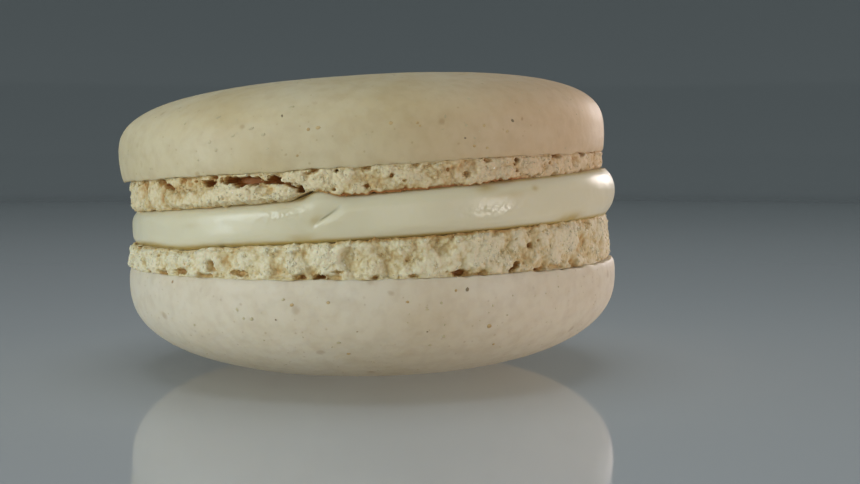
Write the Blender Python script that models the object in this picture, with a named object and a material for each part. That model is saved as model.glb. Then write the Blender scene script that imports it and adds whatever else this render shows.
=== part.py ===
"""A cream-filled almond meringue sandwich biscuit of the French kind, at its real size.

Two baked shells lie foot to foot on a thick layer of cream. The lower shell lies upside down, on a small
flat spot of its dome. The feet, which are the rough bands under the smooth domes, carry their crags as
relief, and the upper foot is torn loose from its dome along one stretch of the front.

Metres, +Z up, +X to the right of the front, which faces -Y. The origin is the middle of the flat spot.
"""

import math

import bmesh
import bpy
from mathutils import Matrix, Vector, noise

MM = 0.001

# How many steps each kind of surface is turned in: the feet's crags need the most
DOME_STEPS = 72
FOOT_STEPS = 216
CREAM_STEPS = 108

# Faces that touch in the real biscuit stay this far apart
SEAM_GAP = 0.3 * MM

# The four seams: height above the table on the biscuit's axis, and rise for each metre towards +X
LOWER_RIM = (9.83 * MM, 0.015)
LOWER_SEAM = (12.88 * MM, 0.064)
UPPER_SEAM = (16.40 * MM, 0.088)
UPPER_RIM = (18.55 * MM, 0.064)

# Both domes: a superellipse from the pole to the widest ring, then a lip that curls in to the rim
DOME_RINGS = 9
LOWER_DOME_RADIUS = 22.45 * MM
LOWER_DOME_DEPTH = 9.95 * MM
LOWER_DOME_POWER = 2.5
LOWER_LIP_HEIGHT = 1.2 * MM
UPPER_DOME_RADIUS = 22.3 * MM
UPPER_DOME_HEIGHT = 8.0 * MM
UPPER_DOME_POWER = 2.85
UPPER_LIP_HEIGHT = 2.0 * MM
FLAT_SPOT_RADIUS = 6.5 * MM
POLE_RADIUS = 1.5 * MM

# The lip from the widest ring to the rim: how far it stands in, and its share of the lip's height
LIP_RINGS = ((0.06 * MM, 0.55), (0.24 * MM, 0.18), (0.50 * MM, 0.02))

# How far each piece's axis stands from the lower dome's axis, along X and Y
LOWER_FOOT_SHIFT = Vector((-0.30 * MM, -0.10 * MM, 0.0))
CREAM_SHIFT = Vector((0.05 * MM, 0.0, 0.0))
UPPER_DOME_SHIFT = Vector((-0.82 * MM, -0.10 * MM, 0.0))
UPPER_FOOT_SHIFT = Vector((-0.60 * MM, -0.30 * MM, 0.0))

# The feet: rows of points from the rim to the seam, rounded at both edges, then a flat seam face
LOWER_FOOT_RADIUS = 22.15 * MM
UPPER_FOOT_RADIUS = 21.85 * MM
FOOT_ROWS = 9
FOOT_EDGE = 0.38 * MM
SEAM_BAND = 1.9 * MM

# The feet's crags: wide lumps, rounded crumbs on them, and some crumbs that have burst into pits
LUMP_SIZE = 4.2 * MM
LUMP_DEPTH = 0.30 * MM
CRUMB_SIZE = 1.6 * MM
CRUMB_DEPTH = 0.62 * MM
PIT_SIZE = 2.3 * MM
PIT_SHARE = 0.30
PIT_DEPTH = 0.55 * MM

# Hollows where the lower foot leaves its rim: angle from the front in degrees, half-width in degrees, depth
LOWER_HOLLOWS = (
    (-44.0, 4.0, 0.45 * MM),
    (-35.0, 2.2, 0.85 * MM),
    (-10.0, 2.2, 0.80 * MM),
    (18.5, 2.8, 0.80 * MM),
    (32.0, 2.6, 0.85 * MM),
)

# The upper foot's tear: stretches from one angle to another, and how far in the slit goes there
TEAR_STRETCHES = (
    (-50.5, -43.5, 0.9 * MM),
    (-38.5, -33.0, 1.2 * MM),
    (-31.5, -15.5, 2.2 * MM),
    (-15.5, -12.0, 1.2 * MM),
)
TEAR_SOFTNESS = 1.2

# The slit lies this share of the way down the foot, and at its right end it bends down round the flap's tip
TEAR_SHARE = 0.25
TEAR_TIP_SHARE = 0.82
TEAR_BEND = (-18.0, -12.8)

# The loose flap under the slit: where it starts and ends, and how far it stands out
FLAP_FROM = -51.0
FLAP_TO = -14.0
FLAP_STAND_OUT = 0.25 * MM

# At the flap's end the seam steps up into a notch, and the cream rises into it
NOTCH_ANGLE = -10.8
NOTCH_HALF_WIDTH = 3.6
NOTCH_RISE = 0.62 * MM

# On the left the cream sags a little over the lower foot
SAG_ANGLE = -47.0
SAG_HALF_WIDTH = 9.0
SAG_DROP = 0.22 * MM

# The cream's side, from its bottom seam to its top: share of the height, and how far it stands in
CREAM_RADIUS = 22.3 * MM
CREAM_ROWS = (
    (0.0, 0.75 * MM),
    (0.10, 0.28 * MM),
    (0.34, 0.03 * MM),
    (0.56, 0.0),
    (0.78, 0.12 * MM),
    (0.93, 0.40 * MM),
    (1.0, 0.85 * MM),
)
CREAM_WAVE_SIZE = 9.0 * MM
CREAM_WAVE_DEPTH = 0.22 * MM

# The fold in the cream: a lip that slants down to the left, from its upper end to its lower end, each an
# angle from the front in degrees and a share of the cream's height
FOLD_TOP = (-6.8, 0.84)
FOLD_FOOT = (-12.8, 0.38)
FOLD_STEP = 0.26 * MM
FOLD_REACH = 3.0


def clear_scene():
    """Removes whatever the scene starts with."""
    for found in list(bpy.data.objects):
        bpy.data.objects.remove(found)


def smoothstep(low, high, value):
    """Rises smoothly from 0 at low to 1 at high."""
    share = min(max((value - low) / (high - low), 0.0), 1.0)
    return share * share * (3.0 - 2.0 * share)


def between(low, high, softness, value):
    """1 between low and high, with soft ends."""
    opening = smoothstep(low - softness, low + softness, value)
    return opening * (1.0 - smoothstep(high - softness, high + softness, value))


def bump(angle, centre, half_width):
    """A smooth hump of height 1 round the centre angle, in degrees."""
    return math.exp(-(((angle - centre) / half_width) ** 2))


def front_angle(point):
    """The angle in degrees round the axis, 0 at the front and positive to the right."""
    return math.degrees(math.atan2(point.x, -point.y))


def level(seam, x):
    """A seam's height at this place along X."""
    return seam[0] + seam[1] * x


def edge_share(point, radius):
    """1 at the outer edge of a piece and 0 inside its seam band."""
    reach = math.hypot(point.x, point.y)
    return smoothstep(radius - SEAM_BAND - 1.2 * MM, radius - 0.9 * MM, reach)


def lower_seam(point, local):
    """The height at which the cream lies on the lower foot."""
    drop = SAG_DROP * bump(front_angle(local), SAG_ANGLE, SAG_HALF_WIDTH)
    return level(LOWER_SEAM, point.x) - drop * edge_share(local, LOWER_FOOT_RADIUS)


def upper_seam(point, local):
    """The height at which the upper foot lies on the cream."""
    rise = NOTCH_RISE * bump(front_angle(local), NOTCH_ANGLE, NOTCH_HALF_WIDTH)
    return level(UPPER_SEAM, point.x) + rise * edge_share(local, UPPER_FOOT_RADIUS)


def crags(point, seed):
    """How far the foot's rough side stands in at this place: lumps, crumbs and burst crumbs."""
    offset = Vector((seed, -seed, 2.0 * seed))
    lump = noise.noise(point / LUMP_SIZE + offset)
    nearest = noise.voronoi(point / CRUMB_SIZE + offset)[0][0]
    inward = LUMP_DEPTH * lump + CRUMB_DEPTH * (nearest * nearest - 0.25)
    reach, middles = noise.voronoi(point / PIT_SIZE - offset)
    if noise.cell(middles[0] * 7.0) < PIT_SHARE:
        inward += PIT_DEPTH * (1.0 - smoothstep(0.10, 0.46, reach[0]))
    return inward


def rim_frame(rim, shift, side):
    """The place and lean of a dome: its own +Z points from the rim to the pole."""
    lean = Matrix.Rotation(-math.atan(rim[1]), 4, "Y")
    rise = Vector((0.0, 0.0, level(rim, shift.x)))
    turned_over = Matrix.Diagonal((1.0, 1.0, side, 1.0))
    return Matrix.Translation(shift + rise) @ lean @ turned_over


def dome_profile(widest, height, power, lip, first_radius):
    """Points from the ring nearest the pole out to the rim, as radius and height over the rim."""
    start = math.asin((first_radius / widest) ** (power / 2.0))
    points = []
    for index in range(DOME_RINGS):
        turn = start + (math.pi / 2.0 - start) * index / (DOME_RINGS - 1)
        radius = widest * math.sin(turn) ** (2.0 / power)
        rise = (height - lip) * max(math.cos(turn), 0.0) ** (2.0 / power)
        points.append((radius, lip + rise))
    for inward, share in LIP_RINGS:
        points.append((widest - inward, lip * share))
    return points


def foot_profile(radius):
    """The foot's rings, with the share of its height as a negative height, and its flat seam face."""
    rows = []
    for index in range(FOOT_ROWS):
        share = (index + 0.3) / (FOOT_ROWS - 0.7)
        straight = smoothstep(0.0, 0.15, share) * (1.0 - smoothstep(0.82, 1.0, share))
        rows.append((radius - FOOT_EDGE * (1.0 - straight), -share))
    return rows + [(radius - SEAM_BAND, -1.0)]


def turned_rings(mesh, profile, steps):
    """Spins a profile of radius and height round Z, and gives its rings of vertices in order."""
    known = set(mesh.verts)
    start = [mesh.verts.new((0.0, -radius, height)) for radius, height in profile]
    edges = [mesh.edges.new(pair) for pair in zip(start, start[1:])]
    bmesh.ops.spin(
        mesh,
        geom=start + edges,
        cent=(0.0, 0.0, 0.0),
        axis=(0.0, 0.0, 1.0),
        steps=steps,
        angle=2.0 * math.pi,
        use_merge=True,
    )
    rings = [[] for _ in profile]
    for vertex in mesh.verts:
        if vertex not in known:
            reach = math.hypot(vertex.co.x, vertex.co.y)
            far = [abs(reach - radius) + abs(vertex.co.z - height) for radius, height in profile]
            rings[far.index(min(far))].append(vertex)
    for ring in rings:
        ring.sort(key=lambda vertex: math.atan2(vertex.co.x, -vertex.co.y))
    return rings


def join_rings(mesh, coarse, fine):
    """Joins two rings with triangles, where the fine ring has a whole number of steps to each coarse one."""
    ratio = len(fine) // len(coarse)
    for index, first in enumerate(coarse):
        second = coarse[(index + 1) % len(coarse)]
        run = [fine[(index * ratio + step) % len(fine)] for step in range(ratio + 1)]
        middle = run[ratio // 2]
        mesh.faces.new((first, middle, second))
        for step in range(ratio):
            corner = first if step < ratio // 2 else second
            mesh.faces.new((corner, run[step], run[step + 1]))


def close_ends(mesh, rings):
    """Fills the first and the last ring with one flat face each, and points all faces out."""
    for ring in (rings[0], rings[-1]):
        mesh.faces.new(ring)
    bmesh.ops.recalc_face_normals(mesh, faces=mesh.faces)


def finished(mesh, name, colour, roughness):
    """Makes the named object, shades it smooth and gives it its own material."""
    data = bpy.data.meshes.new(name)
    mesh.to_mesh(data)
    mesh.free()
    made = bpy.data.objects.new(name, data)
    bpy.context.scene.collection.objects.link(made)
    data.shade_smooth()
    data.set_sharp_from_angle(angle=math.radians(65.0))
    material = bpy.data.materials.new(name)
    material.use_nodes = True
    surface = material.node_tree.nodes["Principled BSDF"]
    surface.inputs["Base Color"].default_value = (*colour, 1.0)
    surface.inputs["Roughness"].default_value = roughness
    surface.inputs["Metallic"].default_value = 0.0
    data.materials.append(material)
    return made


def shape_foot(rings, radius, shift, rim, seam_height, seed, cut):
    """Moves the foot's rings, which carry a share of the foot's height, to their true places.

    The cut says how far the foot stands in at a given angle and share, besides its crags.
    """
    for ring in rings:
        for vertex in ring:
            local = vertex.co.copy()
            share = -local.z
            local.z = 0.0
            reach = local.length
            outward = local / reach
            angle = front_angle(local)
            point = shift + local
            top = level(rim, point.x)
            bottom = seam_height(point, local)
            point.z = top + (bottom - top) * share
            rough = smoothstep(radius - 1.4 * MM, radius - 0.6 * MM, reach)
            free = smoothstep(0.0, 0.12, share) * (1.0 - smoothstep(0.94, 1.05, share))
            inward = rough * free * crags(point, seed) + rough * cut(angle, share)
            point -= outward * max(inward, -0.35 * MM)
            vertex.co = point


def lower_cut(angle, share):
    """The hollows that show where the lower foot leaves its rim."""
    near_rim = smoothstep(0.02, 0.12, share) * (1.0 - smoothstep(0.16, 0.45, share))
    return near_rim * sum(depth * bump(angle, at, width) for at, width, depth in LOWER_HOLLOWS)


def upper_cut(angle, share):
    """The tear under the upper dome, and the flap that it leaves standing out."""
    middle = TEAR_SHARE + (TEAR_TIP_SHARE - TEAR_SHARE) * smoothstep(*TEAR_BEND, angle)
    slit = 1.0 - smoothstep(0.10, 0.17, abs(share - middle))
    depth = sum(deep * between(start, end, TEAR_SOFTNESS, angle) for start, end, deep in TEAR_STRETCHES)
    below = smoothstep(middle + 0.10, middle + 0.24, share) * (1.0 - smoothstep(0.88, 1.0, share))
    return slit * depth - FLAP_STAND_OUT * below * between(FLAP_FROM, FLAP_TO, TEAR_SOFTNESS, angle)


def shell(name, side, dome_measures, rim, dome_shift, foot, colour, seed):
    """One baked shell: dome, lip, foot and seam face. Side is 1 with the dome up and -1 with it down."""
    radius, foot_shift, seam_height, cut = foot
    mesh = bmesh.new()
    dome_rings = turned_rings(mesh, dome_profile(*dome_measures), DOME_STEPS)
    foot_rings = turned_rings(mesh, foot_profile(radius), FOOT_STEPS)
    join_rings(mesh, dome_rings[-1], foot_rings[0])
    close_ends(mesh, dome_rings + foot_rings)
    place = rim_frame(rim, dome_shift, side)
    for ring in dome_rings:
        for vertex in ring:
            vertex.co = place @ vertex.co
    if side < 0:
        bmesh.ops.reverse_faces(mesh, faces=mesh.faces)
        for vertex in dome_rings[0]:
            vertex.co.z = 0.0
    shape_foot(foot_rings, radius, foot_shift, rim, seam_height, seed, cut)
    return finished(mesh, name, colour, 0.62)


def cream_wave(point):
    """Slow unevenness of the cream's side."""
    return CREAM_WAVE_DEPTH * noise.noise(point / CREAM_WAVE_SIZE + Vector((3.1, 0.4, 7.7)))


def fold_step(angle, share):
    """The lip of the fold: the cream stands out right of the slanting line and lies back left of it."""
    down = min(max((FOLD_TOP[1] - share) / (FOLD_TOP[1] - FOLD_FOOT[1]), 0.0), 1.0)
    line = FOLD_TOP[0] + (FOLD_FOOT[0] - FOLD_TOP[0]) * down
    past = (angle - line) / FOLD_REACH
    within = smoothstep(0.15, 0.4, share) * (1.0 - smoothstep(0.88, 1.0, share))
    return FOLD_STEP * within * past * math.exp(0.5 - 0.5 * past * past)


def cream():
    """The cream layer, which fills the whole space between the feet and bulges at its side."""
    mesh = bmesh.new()
    side = [(CREAM_RADIUS - inward, share) for share, inward in CREAM_ROWS]
    inner = CREAM_RADIUS - SEAM_BAND - 1.15 * MM
    rings = turned_rings(mesh, [(inner, 0.0)] + side + [(inner, 1.0)], CREAM_STEPS)
    close_ends(mesh, rings)
    for ring in rings:
        for vertex in ring:
            local = vertex.co.copy()
            share = local.z
            local.z = 0.0
            outward = local.normalized()
            point = CREAM_SHIFT + local
            low = lower_seam(point, local) + SEAM_GAP / 2.0
            high = upper_seam(point, local) - SEAM_GAP / 2.0
            point.z = low + (high - low) * share
            free = smoothstep(0.0, 0.2, share) * (1.0 - smoothstep(0.85, 1.0, share))
            outer = smoothstep(inner, CREAM_RADIUS - MM, local.length)
            swell = free * cream_wave(point) + fold_step(front_angle(local), share)
            vertex.co = point + outward * outer * swell
    return finished(mesh, "cream_filling", (0.72, 0.69, 0.52), 0.35)


def lower_face(point, local):
    """The lower foot's top face, half a gap under the seam."""
    return lower_seam(point, local) - SEAM_GAP / 2.0


def upper_face(point, local):
    """The upper foot's bottom face, half a gap over the seam."""
    return upper_seam(point, local) + SEAM_GAP / 2.0


clear_scene()
shell(
    "lower_shell",
    -1.0,
    (LOWER_DOME_RADIUS, LOWER_DOME_DEPTH, LOWER_DOME_POWER, LOWER_LIP_HEIGHT, FLAT_SPOT_RADIUS),
    LOWER_RIM,
    Vector((0.0, 0.0, 0.0)),
    (LOWER_FOOT_RADIUS, LOWER_FOOT_SHIFT, lower_face, lower_cut),
    (0.66, 0.61, 0.43),
    11.3,
)
cream()
shell(
    "upper_shell",
    1.0,
    (UPPER_DOME_RADIUS, UPPER_DOME_HEIGHT, UPPER_DOME_POWER, UPPER_LIP_HEIGHT, POLE_RADIUS),
    UPPER_RIM,
    UPPER_DOME_SHIFT,
    (UPPER_FOOT_RADIUS, UPPER_FOOT_SHIFT, upper_face, upper_cut),
    (0.64, 0.57, 0.40),
    4.7,
)
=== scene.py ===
"""The dressed macaroon: the fine surfaces and finishes of its shells, feet, crumbs and cream.

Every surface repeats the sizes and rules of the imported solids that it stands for, and adds the relief that is
too fine for them. Metres, +Z up, and the front faces -Y. Angles run round the axis, from the front to the
right.
"""

import logging
import math
from dataclasses import KW_ONLY, dataclass, replace
from enum import Enum
from typing import Mapping, Sequence

import bmesh
import bpy
import numpy as np
from bpy.types import Collection, Material, Mesh, Node, NodeOutputs, NodeSocket, NodeTree, Object
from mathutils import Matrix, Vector, noise
from mathutils.bvhtree import BVHTree


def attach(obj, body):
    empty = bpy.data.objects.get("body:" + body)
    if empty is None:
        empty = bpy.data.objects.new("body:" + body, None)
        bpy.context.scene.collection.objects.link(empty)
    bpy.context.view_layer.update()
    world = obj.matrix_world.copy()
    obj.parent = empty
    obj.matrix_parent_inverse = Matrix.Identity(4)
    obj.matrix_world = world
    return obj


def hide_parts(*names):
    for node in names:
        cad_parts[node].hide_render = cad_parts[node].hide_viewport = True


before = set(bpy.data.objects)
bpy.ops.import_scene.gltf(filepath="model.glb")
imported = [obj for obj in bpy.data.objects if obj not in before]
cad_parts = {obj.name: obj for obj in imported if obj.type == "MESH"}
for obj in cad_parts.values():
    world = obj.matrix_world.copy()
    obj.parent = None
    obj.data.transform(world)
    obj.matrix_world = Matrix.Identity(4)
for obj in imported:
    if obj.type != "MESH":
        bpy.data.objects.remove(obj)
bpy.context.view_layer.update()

MM = 0.001
BODY = "root"
# Points closer than this are one point
DOUBLES = 0.001 * MM
# Most of a noise's values lie between these two
MOST = (0.3, 0.7)
# The sides, rings and radius of a small grain before it is sized, and the width and depth of its dents
GRAIN = (7, 5, 1.0)
DENTS = (0.12 * MM, 0.10 * MM)
SOCKETS = {int: "NodeSocketInt", float: "NodeSocketFloat", tuple: "NodeSocketVector"}
LOG = logging.getLogger("macaroon")
Pair, Triple = tuple[float, float], tuple[float, float, float]
Feeds = Mapping[int | str, object] | Sequence[object]


class Slot(Enum):
    """The material slots that each piece's log line names."""

    SHELL = "baked_shell"
    CREAM = "cream"


class Side(Enum):
    """Which way a shell's dome points from its rim."""

    UP = 1.0
    DOWN = -1.0


class Lit(Enum):
    """What a lamp lights, and the name of the collection that holds it."""

    ALL = "everything"
    BISCUIT = "biscuit"
    FLOOR = "stage"


def linear(code: str) -> tuple[float, float, float, float]:
    """Turns an sRGB hex colour into linear RGBA.

    Args:
        code: The colour as "#rrggbb".

    Returns:
        Red, green, blue and full alpha, in linear light.
    """
    shares = [int(code[start : start + 2], 16) / 255.0 for start in (1, 3, 5)]
    bent = [share / 12.92 if share <= 0.04045 else ((share + 0.055) / 1.055) ** 2.4 for share in shares]
    return (*bent, 1.0)


def smoothstep(low: float, high: float, value: np.ndarray) -> np.ndarray:
    """Rises smoothly from 0 at low to 1 at high.

    Args:
        low: Where the rise starts.
        high: Where it ends.
        value: The places to read.

    Returns:
        The height of the step at each place.
    """
    share = np.clip((value - low) / (high - low), 0.0, 1.0)
    return share * share * (3.0 - 2.0 * share)


def band(value: np.ndarray, rise: Pair, fall: Pair) -> np.ndarray:
    """Rises smoothly from 0 to 1 and falls back to 0.

    Args:
        value: The places to read.
        rise: Where the rise starts and ends.
        fall: Where the fall starts and ends.

    Returns:
        The height at each place.
    """
    return smoothstep(*rise, value) * (1.0 - smoothstep(*fall, value))


def hump(value: np.ndarray, centre: float, half_width: float) -> np.ndarray:
    """A smooth hump of height 1.

    Args:
        value: The places to read.
        centre: Where the hump is highest.
        half_width: How far from there it has sunk to about a third.

    Returns:
        The height of the hump at each place.
    """
    return np.exp(-(((value - centre) / half_width) ** 2))


def noise_at(points: np.ndarray, size: float, offset: Sequence[float]) -> np.ndarray:
    """Reads smooth noise at many points.

    Args:
        points: Places, the last axis being x, y and z.
        size: The width of one lump of the noise, in metres.
        offset: Where in the noise the reading starts.

    Returns:
        Values from about -1 to 1, in the points' own layout.
    """
    start = Vector(offset)
    values = [noise.noise(Vector(place) + start) for place in points.reshape(-1, 3) / size]
    return np.array(values).reshape(points.shape[:-1])


def ring(steps: int, front_share: float) -> tuple[np.ndarray, np.ndarray]:
    """Spreads points round a ring, closer together at the front than at the back.

    Args:
        steps: How many points there are.
        front_share: How much closer together than on average they are at the front.

    Returns:
        Their angles from the front in degrees, rising from half a turn left, and the directions outwards.
    """
    even = np.linspace(-math.pi, math.pi, steps, endpoint=False)
    turn = (even - front_share * np.sin(even))[None, :]
    return np.degrees(turn), np.stack([np.sin(turn), -np.cos(turn), np.zeros_like(turn)], axis=-1)


def feed(node: Node, feeds: Feeds) -> None:
    """Sets or links a node's inputs.

    Args:
        node: The node.
        feeds: Its inputs, in order or by name or number. Each is a value, or the socket or node that it is
            linked to. Of a node, the first output that its settings show is linked.
    """
    for key, value in feeds.items() if isinstance(feeds, Mapping) else enumerate(feeds):
        if isinstance(value, Node):
            value = next(output for output in value.outputs if output.enabled)
        if isinstance(value, NodeSocket):
            node.id_data.links.new(value, node.inputs[key])
        else:
            node.inputs[key].default_value = value


def put(tree: NodeTree, kind: str, feeds: Feeds = (), **settings: object) -> Node:
    """Adds a node to a tree, with its settings and what feeds its inputs.

    Args:
        tree: The tree of a material or of Geometry Nodes.
        kind: The node's class name.
        feeds: Its inputs, in the way that feed takes them.
        settings: The node's own properties by name.

    Returns:
        The new node.
    """
    node = tree.nodes.new(kind)
    for name, value in settings.items():
        setattr(node, name, value)
    feed(node, feeds)
    return node


def painted(tree: NodeTree, ground: object, layers: Sequence[tuple[object, str]]) -> Node:
    """Paints colours over each other.

    Args:
        tree: The tree of a material.
        ground: The lowest colour, or the node that gives it.
        layers: The colours over it, from the lowest up: what gives how far it covers, and its hex code.

    Returns:
        The node that gives the finished colour.
    """
    for cover, code in layers:
        ground = put(tree, "ShaderNodeMix", {0: cover, 6: ground, 7: linear(code)}, data_type="RGBA")
    return ground


@dataclass(frozen=True)
class Seam:
    """A nearly level joint between two layers.

    Attributes:
        height: Its height above the table on the biscuit's axis.
        rise: How much it rises for each metre towards +X.
    """

    height: float
    rise: float

    def level(self, x: np.ndarray) -> np.ndarray:
        """The seam's height at these places along X."""
        return self.height + self.rise * x


LOWER_RIM = Seam(9.83 * MM, 0.015)
LOWER_SEAM = Seam(12.88 * MM, 0.064)
UPPER_SEAM = Seam(16.40 * MM, 0.088)
UPPER_RIM = Seam(18.55 * MM, 0.064)


@dataclass(frozen=True)
class Dip:
    """A place at the edge of a seam where it leaves its plane.

    Attributes:
        angle: Where it is, in degrees round the axis.
        half_width: How wide it is to each side, in degrees.
        rise: How far the seam's edge rises there, or sinks if it is negative.
    """

    angle: float
    half_width: float
    rise: float

    def lift(self, angle: np.ndarray) -> np.ndarray:
        """How far the seam's edge is lifted at these angles."""
        return self.rise * hump(angle, self.angle, self.half_width)


SAG = Dip(-47.0, 9.0, -0.22 * MM)
NOTCH = Dip(-10.8, 3.6, 0.62 * MM)


@dataclass(frozen=True)
class Finish:
    """A finish on a Principled BSDF.

    Attributes:
        name: The material's name.
        glow: How much light goes in and comes out again, how far its red, green and blue reach against each
            other, and the millimetres that this reach is counted in.
        ior: The index of refraction.
    """

    name: str
    _: KW_ONLY
    glow: tuple[float, Triple, float] = (0.0, (1.0, 1.0, 1.0), 1.0)
    ior: float = 1.52

    def paint(self, tree: NodeTree, place: NodeSocket) -> dict[str, object]:
        """What feeds the Principled BSDF, at a place on the piece: each finish says it in its own way."""
        raise NotImplementedError

    def make(self) -> Material:
        """Builds the material.

        Returns:
            The new material.
        """
        material = bpy.data.materials.new(self.name)
        material.use_nodes = True
        tree = material.node_tree
        weight, reach, unit_mm = self.glow
        glowing = {"Subsurface Weight": weight, "Subsurface Radius": reach, "Subsurface Scale": unit_mm * MM}
        place = put(tree, "ShaderNodeTexCoord").outputs["Object"]
        feed(tree.nodes["Principled BSDF"], {**glowing, "IOR": self.ior, **self.paint(tree, place)})
        return material


@dataclass(frozen=True)
class Baked(Finish):
    """A baked finish, tinted warmer towards +X.

    Attributes:
        tan: The colour of that tint.
        tan_share: How strongly it covers, and from and to which millimetre along X it sets in.
    """

    tan: str = "#c79f82"
    tan_share: Triple = (0.0, 0.0, 20.0)

    def right_side_tint(self, tree: NodeTree, place: NodeSocket) -> tuple[Node, str]:
        """Finds how far the tint covers each place along X.

        Args:
            tree: The material's tree.
            place: The socket that gives the place on the piece.

        Returns:
            The node that gives how far the tan covers, and the tan.
        """
        greatest, start, end = self.tan_share
        along = put(tree, "ShaderNodeSeparateXYZ", (place,))
        span = (along, start * MM, end * MM, 0.0, greatest)
        return put(tree, "ShaderNodeMapRange", span, interpolation_type="SMOOTHSTEP"), self.tan


# Baked almond meringue: a thin, dry, smooth skin, which the eye sees as matt ivory with a faint glow
@dataclass(frozen=True)
class BakedSkin(Baked):
    """The finish of a dome's baked skin.

    Attributes:
        pale: The colour where the skin dried palest.
        toasted: The colour where the oven toasted it.
        freckle: The colour of the almond meal that shows through.
        cloud: The toasted clouds: their width in millimetres and the detail in their outline.
        cloud_span: From and to which value of the noise the skin turns from pale to toasted.
        mottle: The same as cloud for the faint mottle that the meal gives the skin from underneath.
        mottle_span: From and to which value of the noise the mottle sets in, and how strong it gets.
        meal: Fine, coarse and dark almond meal: its spacing in millimetres, the share of it that shows
            through the skin, its greatest radius as a share of the spacing, and how strongly it shows.
        core: How much of the radius of a grain of meal shows its full colour.
        bend: How far the meal's outlines wander, as a share of its spacing, and how often in that length.
        grain: Width in millimetres and detail of the skin's finest grain.
        grain_low: Strength of that grain, and its depth in millimetres.
        pimple: The same as grain for its low pimples.
        pimple_low: The same as grain_low for its low pimples.
        gloss: The roughness of the pale skin and of the toasted clouds.
    """

    name: str = "pale_meringue_skin"
    pale: str = "#d8ceb8"
    toasted: str = "#cebfa3"
    freckle: str = "#94713f"
    cloud: Pair = (8.0, 3.0)
    cloud_span: Pair = (0.3, 0.8)
    mottle: Pair = (1.1, 3.0)
    mottle_span: Triple = (0.42, 0.72, 0.16)
    meal: tuple[tuple[float, float, float, float], ...] = (
        (0.6, 0.50, 0.26, 0.30),
        (1.9, 0.55, 0.28, 0.34),
        (3.1, 0.45, 0.10, 0.85),
    )
    core: float = 0.3
    bend: Pair = (0.25, 2.2)
    grain: Pair = (0.22, 4.0)
    grain_low: Pair = (0.25, 0.03)
    pimple: Pair = (1.1, 2.0)
    pimple_low: Pair = (0.5, 0.10)
    gloss: Pair = (0.50, 0.60)
    glow: tuple[float, Triple, float] = (0.35, (1.0, 0.75, 0.45), 0.9)
    ior: float = 1.45

    def paint(self, tree: NodeTree, place: NodeSocket) -> dict[str, object]:
        """Paints toasted clouds, the tan, the mottle and the meal on a low relief.

        Args:
            tree: The material's tree.
            place: The socket that gives the place on the piece.

        Returns:
            What feeds the Principled BSDF.
        """
        clouds, mottle, grain, pimples = (
            put(tree, "ShaderNodeTexNoise", {"Vector": place, "Scale": 1000.0 / width, "Detail": detail})
            for width, detail in (self.cloud, self.mottle, self.grain, self.pimple)
        )
        first, last, share = self.mottle_span
        toast = put(tree, "ShaderNodeMapRange", (clouds, *self.cloud_span))
        faint = put(tree, "ShaderNodeMapRange", (mottle, first, last, 0.0, share))
        layers = [(toast, self.toasted), self.right_side_tint(tree, place), (faint, self.freckle)]
        wander, bends = self.bend
        for spacing, share, reach, shade in self.meal:
            bent = put(tree, "ShaderNodeTexNoise", {"Vector": place, "Scale": 1000.0 * bends / spacing})
            push = {0: bent.outputs["Color"], "Scale": wander * spacing * MM}
            off = put(tree, "ShaderNodeVectorMath", push, operation="SCALE")
            there = put(tree, "ShaderNodeVectorMath", (place, off), operation="ADD")
            meal = put(tree, "ShaderNodeTexVoronoi", {"Vector": there, "Scale": 1000.0 / spacing})
            picked = put(tree, "ShaderNodeSeparateColor", (meal.outputs["Color"],))
            size = put(tree, "ShaderNodeMapRange", (picked, 1.0 - share, 1.0, 0.0, reach))
            core = put(tree, "ShaderNodeMath", (size, self.core), operation="MULTIPLY")
            fade = (meal, core, size, shade, 0.0)
            dot = put(tree, "ShaderNodeMapRange", fade, interpolation_type="SMOOTHSTEP")
            layers.append((dot, self.freckle))
        normal = None
        for lumps, (strength, depth) in ((grain, self.grain_low), (pimples, self.pimple_low)):
            feeds = {"Height": lumps, "Strength": strength, "Distance": depth * MM}
            normal = put(tree, "ShaderNodeBump", feeds | ({"Normal": normal} if normal else {}))
        return {
            "Base Color": painted(tree, linear(self.pale), layers),
            "Roughness": put(tree, "ShaderNodeMapRange", (clouds, *MOST, *self.gloss)),
            "Normal": normal,
        }


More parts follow.
